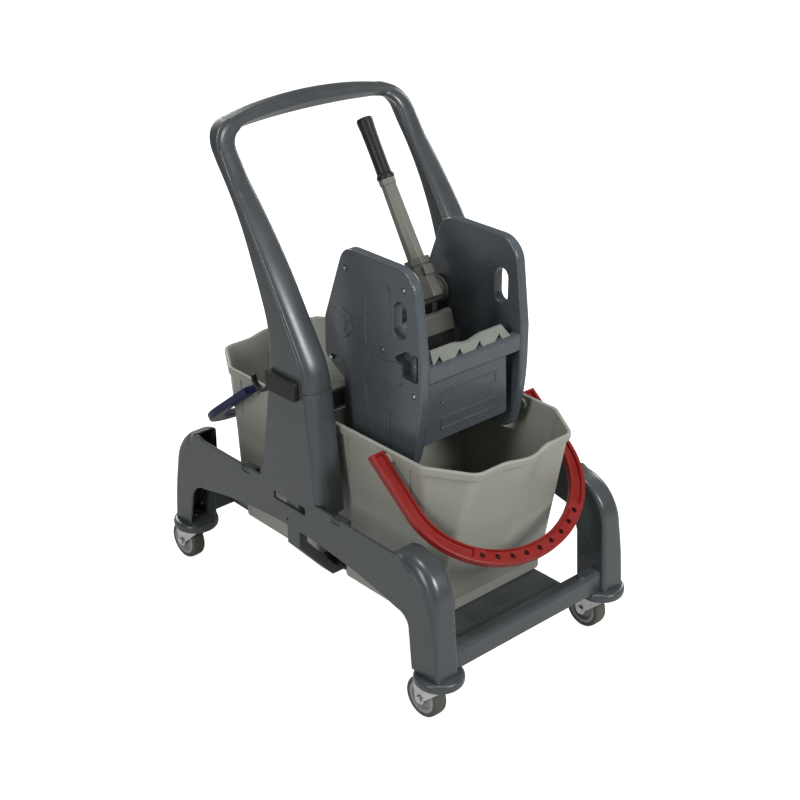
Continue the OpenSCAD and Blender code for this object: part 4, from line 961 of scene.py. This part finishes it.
def plate_outline():
    """Side plate of the press, anticlockwise: y from the bucket's rim, z from the plate's foot."""
    corners = [(-18, 0), (-18, 108), (35, 136), (35, 206)]
    curve = arc((-47.4, 309), 40, 21, 90, 8) + arc((-156.1, 304), 45, 90, 172.6, 9)
    brow = [(-215, 200)]
    belly = arc((291, 150), 506, 180, 195.06, 8) + arc((-173.5, 25), 25, 195.06, 270, 5)[1:]
    radii = [8, 12, 16, 26] + [0] * len(curve) + [30] + [0] * len(belly)
    return rounded(corners + curve + brow + belly, radii, 5)


def finger_slot():
    """Upright slot with round ends through a side plate."""
    return [Vector(p) for p in arc((-164, 277), 15, 0, 180, 10) + arc((-164, 244), 15, 180, 360, 10)]


def pencil(y, low, high):
    """Flat raised bar with a slanted upper end."""
    return [Vector(p) for p in [(y + 7, low), (y + 7, high), (y - 1, high), (y - 7, high - 9), (y - 7, low)]]


def plate_marks():
    """Raised (or sunk) outlines on a side plate: each with its height and the run of its slope."""
    belt = rounded([(-64, 145), (-64, 177.5), (-134, 178.5), (-166, 187), (-170.5, 180), (-169, 152),
                    (-160, 144)], 3, 2)
    pocket = rounded([(-173, 164), (-173, 186), (-150, 191), (-178, 210), (-206, 210), (-206, 164)], 4, 3)
    marks = [(belt, 2.6, 1.4), (pocket, -16.0, 1.6)]
    for y in (-74, -134):
        marks += [(pencil(y, 196, 312), 2.0, 1.0), (pencil(y, 20, 122), 2.0, 1.0)]
    marks.append((arc((SHAFT_Y, SHAFT_UP), 25, 0, 350, 35), 3.4, 2.2))
    marks.append((arc((SHAFT_Y, SHAFT_UP), 16, 0, 300, 5), 2.0, 1.2))
    marks += [(arc(s, 5.0, 0, 337.5, 15), -3.0, 0.5) for s in SIDE_SCREWS]
    return marks


def press_plate():
    """Right side of the press: outer shell and inner cover with the joint line between them."""
    thick = PLATE_OUT - PLATE_IN

    def spot(u, v, depth):
        roll = 7 * ramp(-80, 45, u) * max(0.0, 1 - depth / thick)
        return (PLATE_OUT - depth - roll, u + RIM_FRONT_Y, v + PRESS_Z)

    rim = round_rim(3.2, thick, 16.0)
    return Skin().relief(plate_outline(), spot, rim, [finger_slot()], round_rim(2.4, thick), plate_marks())


def press_front():
    """Bar across the press with the recessed panel under it, which carries two long raised outlines."""
    skin = Skin()
    bar = rounded([(-213.5, 155), (-195.5, 155), (-195.5, 186), (-213.5, 186)], [5, 2, 2, 5], 4)
    skin.slab(bar, lambda u, v, d: (PLATE_IN - d, u + RIM_FRONT_Y, v + PRESS_Z), 2 * PLATE_IN, 0.4)
    panel = rounded([(-104.5, 40), (92, 40), (86, 157), (-104.5, 157)], [6, 6, 0, 0], 4)
    marks = []
    for low in (58, 105):
        outer = rounded([(-66, low), (64, low), (64, low + 22), (-66, low + 22)], 5, 3)
        marks += [(outer, 1.5, 1.2), (inset(outer, 4.0), -1.5, 1.2)]
    skin.relief(panel, lambda u, v, d: (u, -199.5 + d + RIM_FRONT_Y, v + PRESS_Z), round_rim(1.2, 4.0),
                marks=marks, grid=14.0)
    return skin


# Lever

LEVER_X = 60.0
LEVER_LEAN = radians(31.5)
LEVER_FORWARD = 20
SHAFT_MID = Vector((0, RIM_FRONT_Y + SHAFT_Y, PRESS_Z + SHAFT_UP))


def lever_spot(u, v, s):
    """Place on the lever: u across, v behind its middle line, s along it from the shaft."""
    back = v - LEVER_FORWARD
    return SHAFT_MID + Vector((LEVER_X + u, back * cos(LEVER_LEAN) + s * sin(LEVER_LEAN),
                               -back * sin(LEVER_LEAN) + s * cos(LEVER_LEAN)))


def octagon(across, s, r=2.0):
    """Eight-sided ring round the lever's middle line at s, given by its width across the flats."""
    corner = across / 2 / cos(radians(22.5))
    turns = [radians(22.5 + 45 * k) for k in range(8)]
    loop = [(corner * cos(t), corner * sin(t)) for t in turns]
    return [lever_spot(p.x, p.y, s) for p in rounded(loop, r, 2)]


def lever_tube():
    """Eight-sided tube that tapers up to a collar under the grip."""
    steps = [(29.8, 15), (29.8, 60), (26.2, 196), (28.6, 197), (29.0, 198), (29.0, 206.4), (28.0, 207.6)]
    return Skin().loft([octagon(across, s) for across, s in steps])


def lever_barrel():
    """Barrel on the shaft with the lever's socket, two cam arms and the lug on the socket's front."""
    skin = Skin()
    left, right = -76.0, 103.0
    flange = [(8.2, 0), (23.6, 0), (25, 1.4), (25, 5), (24, 6), (21, 7)]
    barrel = [(r, left + s) for r, s in flange] + [(r, right - s) for r, s in reversed(flange)]
    skin.lathe(barrel, SHAFT_MID, (1, 0, 0))
    socket = [(40, -14), (46, -12), (48, -6), (46, 8), (41, 20), (38.6, 30), (38.2, 47), (43.4, 48), (44, 49),
              (44, 58.6), (43, 59.7), (31, 59.9)]
    skin.loft([octagon(across, s, 3.0) for across, s in socket])
    arm_r, arm_thick, arm_drop = 8, 12, 85
    y, z = SHAFT_MID.y, SHAFT_MID.z
    arm = arc((y, z - arm_drop), arm_r, 180, 360, 8) + [(y + arm_r, z), (y - arm_r, z)]
    for x in (-64.0, 79.0):
        skin.slab([Vector(p) for p in arm], lambda u, v, d: (x + arm_thick - d, u, v), arm_thick, 1.2)
    lug = rounded([(-11, 26), (11, 26), (11, 44), (-11, 44)], 2.5, 3)
    skin.slab(lug, lambda u, v, d: lever_spot(u, -23.5 + d, v), 6, 1.2)
    return skin


def lever_grip():
    """Round grip, waisted, with a collar at its foot and a rounded end."""
    profile = [(0, 208), (15.2, 208), (16, 209), (16, 213.4), (15.2, 215), (13.6, 216.4), (13.2, 219),
               (12.9, 240), (13.0, 270), (13.5, 296), (14.4, 310), (14.7, 314), (14.0, 317.4), (12.0, 319.4),
               (9, 320), (0, 320)]
    foot = lever_spot(0, 0, 0)
    return Skin().lathe(profile, foot, lever_spot(0, 0, 1) - foot)


def return_spring():
    """Wound wire round the shaft with two short ends."""
    first, last, turns, steps = -77.8, -103.2, 4, 28
    coil_r, wire_r, tail = 10.7, 1.5, Vector((0, 0, 3))
    path = []
    for i in range(turns * steps + 1):
        a = 2 * pi * i / steps
        along = mix(first, last, i / (turns * steps))
        path.append(SHAFT_MID + Vector((along, coil_r * cos(a), coil_r * sin(a))))
    return Skin().tube([path[0] - tail] + path + [path[-1] + tail], wire_r)


# Bails

BAIL_DROP = radians(38)
BAIL_OUT = 192.8
BAIL_IN = 164.8
BAIL_SIDE = 100.0
BAIL_REACH = 258.0
BAIL_GRIP = 28.0
BAIL_T = 14.0
BAIL_TAIL = 17.0


def bail_curve(d, a0, a1, n):
    """Points of the bail's outer edge moved inward by d."""
    turns = [radians(mix(a0, a1, i / n)) for i in range(n + 1)]
    across, along = BAIL_OUT - d, BAIL_REACH - BAIL_SIDE - d
    return [Vector((across * cos(t), BAIL_SIDE + along * sin(t))) for t in turns]


def bail(end):
    """Swinging bail: a strap with raised rails and a row of holes along its grip stretch."""
    lean = Vector((0, cos(BAIL_DROP), -sin(BAIL_DROP)))
    up = Vector((0, sin(BAIL_DROP), cos(BAIL_DROP)))

    def spot(u, v, depth):
        p = Vector((u, BAIL_V, BAIL_Z)) + lean * v + up * (BAIL_T / 2 - depth)
        return (p.x, RIM_Y[end] + end * p.y, p.z)

    wide = BAIL_GRIP
    ends = [Vector((x, -BAIL_TAIL)) for x in (BAIL_OUT, -BAIL_OUT, -BAIL_IN, BAIL_IN)]
    loop = [ends[0]] + bail_curve(0, 0, 180, 64) + ends[1:3] + bail_curve(wide, 180, 0, 64) + [ends[3]]
    holes = []
    for i in range(9):
        a = radians(52 + 9.5 * i)
        across, along = BAIL_OUT - wide / 2, BAIL_REACH - BAIL_SIDE - wide / 2
        middle = (across * cos(a), BAIL_SIDE + along * sin(a))
        holes.append([Vector(p) for p in arc(middle, 5, 0, 345, 23)])
    marks = []
    for side in (1, -1):
        groove = [Vector((BAIL_OUT - 9, 6 - BAIL_TAIL))] + bail_curve(9, 0, 46, 16)
        groove += bail_curve(wide - 6, 46, 0, 16) + [Vector((BAIL_IN + 6, 6 - BAIL_TAIL))]
        if side < 0:
            groove = [Vector((-p.x, p.y)) for p in reversed(groove)]
        marks.append((groove, -4.5, 1.2))
    trough = bail_curve(wide - 4, 126, 54, 24) + bail_curve(wide - 7, 54, 126, 24)
    marks.append((trough, -2.5, 0.8))
    return Skin().relief(loop, spot, round_rim(2.4, BAIL_T), holes, round_rim(1.0, BAIL_T), marks, 9.0)


# Casters

CORNER_PLACES = {"fl": (-1, -1), "fr": (1, -1), "rl": (-1, 1), "rr": (1, 1)}
SWIVEL_X, SWIVEL_Y = 200.0, 343.0
CASTER_TRAIL = 30.0
WHEEL_R = 37.5


def caster_tyre(axle):
    """Tyre with rounded shoulders."""
    half = [(29.0, 12.6), (33.2, 13.0), (35.2, 12.4), (36.6, 10.8), (37.3, 8.2), (WHEEL_R, 4.5), (WHEEL_R, 0)]
    return Skin().turn(half + [(r, -s) for r, s in reversed(half[:-1])], axle, (1, 0, 0), 64)


def caster_hub(axle):
    """Hub with a raised middle and a dished web."""
    half = [(4.3, 14.0), (8.6, 14.0), (9.6, 13.2), (10.4, 8.0), (12, 6.4), (19.6, 5.6), (21.4, 7.4),
            (22.4, 11.4), (23.6, 12.8), (27.4, 13.0), (28.9, 12.2)]
    return Skin().turn(half + [(r, -s) for r, s in reversed(half)], axle, (1, 0, 0), 64)


def caster_bumper(swivel):
    """Round bumper under a leg, hollow from below."""
    profile = [(0, 99.9), (37, 99.9), (40.4, 99.0), (42.2, 97.0), (43.0, 93.8), (43.0, 88.4), (42.2, 85.2),
               (40.4, 83.0), (37.6, 82.1), (35.8, 82.9), (34.8, 85.0), (34.5, 96.0), (0, 96.0)]
    return Skin().lathe(profile, (*swivel, 0), (0, 0, 1), 64)


# Pieces that stand for CAD nodes

right_frame = side_frame()
piece("side_frame_skin_right", right_frame, "frame_plastic", "chassis", ["side_frame_right"])
piece("side_frame_skin_left", right_frame.mirrored(), "frame_plastic", "chassis", ["side_frame_left"])
piece("push_handle_skin", push_handle(), "frame_plastic", "chassis", ["push_handle"])
piece("front_bucket_skin", bucket(-1), "bucket_plastic", "front_bucket_body", ["front_bucket"])
piece("rear_bucket_skin", bucket(1), "bucket_plastic", "rear_bucket_body", ["rear_bucket"])
right_plate = press_plate()
piece("press_plate_right", right_plate, "press_plastic", "press_body",
      ["press_side_right", "press_cover_right"], 32)
piece("press_plate_left", right_plate.mirrored(), "press_plastic", "press_body",
      ["press_side_left", "press_cover_left"], 32)
piece("press_front_skin", press_front(), "press_plastic", "press_body", ["press_front"], 32)
piece("lever_tube_skin", lever_tube(), "lever_plastic", "lever_body", ["lever_tube"], 30)
piece("lever_barrel_skin", lever_barrel(), "grey_plastic", "lever_body", ["lever_barrel"],
      finish="rest_plastic")
piece("lever_grip_skin", lever_grip(), "black_plastic", "lever_body", ["lever_grip"])
piece("return_spring_wire", return_spring(), "zinc_steel", "lever_body", ["return_spring"])
piece("front_bail_skin", bail(-1), "red_plastic", "front_bail_body", ["front_bail"], 32)
piece("rear_bail_skin", bail(1), "navy_plastic", "rear_bail_body", ["rear_bail"], 32)
for corner, (across, along) in CORNER_PLACES.items():
    swivel = (SWIVEL_X * across, SWIVEL_Y * along)
    axle = (swivel[0], swivel[1] + CASTER_TRAIL, WHEEL_R)
    piece("tyre_skin_" + corner, caster_tyre(axle), "tyre_rubber", "wheel_" + corner, ["tyre_" + corner])
    piece("hub_skin_" + corner, caster_hub(axle), "hub_plastic", "wheel_" + corner, ["hub_" + corner])
    piece("bumper_skin_" + corner, caster_bumper(swivel), "frame_plastic", "chassis", ["bumper_" + corner])

# Nodes that keep their CAD shape, by slot and radius of their softened edges
KEPT = {
    ("frame_plastic", 1.6): ["front_shelf", "rear_shelf"],
    ("frame_plastic", 1.5): ["centre_support"],
    ("black_plastic", 1.6): ["clip_left", "clip_right"],
    ("black_plastic", 1.2): ["jaw_plate"],
    ("grey_plastic", 0.8): ["press_sieve"],
    ("press_plastic", 1.0): ["press_back"],
    ("press_plastic", 0.0): ["press_hook_left", "press_hook_right"],
    ("zinc_steel", 0.5): ["frame_screws", "press_screws"],
    ("zinc_steel", 0.7): ["axle_" + corner for corner in CORNER_PLACES],
    ("zinc_steel", 0.8): ["press_tie_rod", "lever_shaft"],
    ("zinc_steel", 0.9): ["fork_" + corner for corner in CORNER_PLACES],
}
for (kept_slot, kept_edge), kept_names in KEPT.items():
    for kept_name in kept_names:
        dress_node(kept_name, kept_slot, kept_edge)
dress_node("press_rest", "grey_plastic", 1.2, "rest_plastic")
dress_node("jaw_head", "grey_plastic", 2.0, "rest_plastic")


# Stage

def direct_view(b):
    """Facts of a ray, and 1 where it comes straight from the camera or through clear material."""
    path = b.node("ShaderNodeLightPath").outputs
    return path, b.math("MAXIMUM", path["Is Camera Ray"], path["Is Transmission Ray"])


def stage_floor():
    """Matt floor that glows for the camera, so that it nearly runs into the white background."""
    mesh = bpy.data.meshes.new("floor")
    half = 15.0
    corners = [(-half, -half, 0), (half, -half, 0), (half, half, 0), (-half, half, 0)]
    mesh.from_pydata(corners, [], [(0, 1, 2, 3)])
    floor = bpy.data.objects.new("floor", mesh)
    bpy.context.scene.collection.objects.link(floor)
    finish = bpy.data.materials.new("studio_floor")
    finish.use_nodes = True
    b = Bench(finish.node_tree)
    b.tree.nodes.remove(b.tree.nodes["Principled BSDF"])
    out = b.tree.nodes["Material Output"]
    path, direct = direct_view(b)
    mirrored = b.math("MULTIPLY", path["Is Glossy Ray"], 0.1)
    seen = b.math("MAXIMUM", direct, mirrored)
    matt = b.node("ShaderNodeBsdfDiffuse")
    matt.inputs["Color"].default_value = (0.62, 0.62, 0.62, 1)
    glow = b.node("ShaderNodeEmission")
    b.link(b.math("MULTIPLY", seen, 0.86), glow.inputs["Strength"])
    both = b.node("ShaderNodeAddShader")
    b.link(matt.outputs[0], both.inputs[0])
    b.link(glow.outputs[0], both.inputs[1])
    b.link(both.outputs[0], out.inputs["Surface"])
    mesh.materials.append(finish)


def stage_world():
    """White surroundings for the camera, which give much less light to the trolley."""
    world = bpy.data.worlds.new("studio")
    bpy.context.scene.world = world
    world.use_nodes = True
    b = Bench(world.node_tree)
    shade = b.tree.nodes["Background"]
    seen = direct_view(b)[1]
    b.link(b.math("ADD", b.math("MULTIPLY", seen, 0.82), 0.18), shade.inputs["Strength"])
    shade.inputs["Color"].default_value = (1, 1, 1, 1)


def softbox(name, place, aim, size, power):
    """Rectangular lamp at a place, turned to its aim."""
    data = bpy.data.lights.new(name, "AREA")
    data.shape = "RECTANGLE"
    data.size, data.size_y = size
    data.energy = power
    lamp = bpy.data.objects.new(name, data)
    lamp.location = place
    lamp.rotation_mode = "QUATERNION"
    lamp.rotation_quaternion = (Vector(aim) - Vector(place)).to_track_quat("-Z", "Y")
    bpy.context.scene.collection.objects.link(lamp)


def stage_camera():
    """Camera at the photograph's place."""
    data = bpy.data.cameras.new("photo_camera")
    data.lens = 70.24
    data.sensor_width = 36.0
    camera = bpy.data.objects.new("photo_camera", data)
    turned, raised = radians(-42.119), radians(26.027)
    level = cos(raised)
    back = Vector((sin(turned) * level, -cos(turned) * level, sin(raised)))
    camera.location = (-1.66515, -1.87928, 1.62952)
    camera.rotation_mode = "QUATERNION"
    camera.rotation_quaternion = (-back).to_track_quat("-Z", "Y")
    bpy.context.scene.collection.objects.link(camera)
    bpy.context.scene.camera = camera


stage_floor()
stage_world()
middle = (0, 0, 0.45)
softbox("key_box", (0.5, -2.9, 2.1), middle, (0.9, 0.8), 85)
softbox("top_box", (-0.2, -0.5, 3.0), middle, (0.7, 0.7), 26)
softbox("left_box", (-2.9, -0.7, 1.6), middle, (0.5, 1.7), 44)
softbox("back_box", (0.7, 3.1, 1.9), middle, (1.3, 1.0), 46)
softbox("right_box", (3.0, 0.4, 1.5), middle, (0.5, 1.7), 30)
stage_camera()
bpy.context.scene.view_settings.view_transform = "Standard"
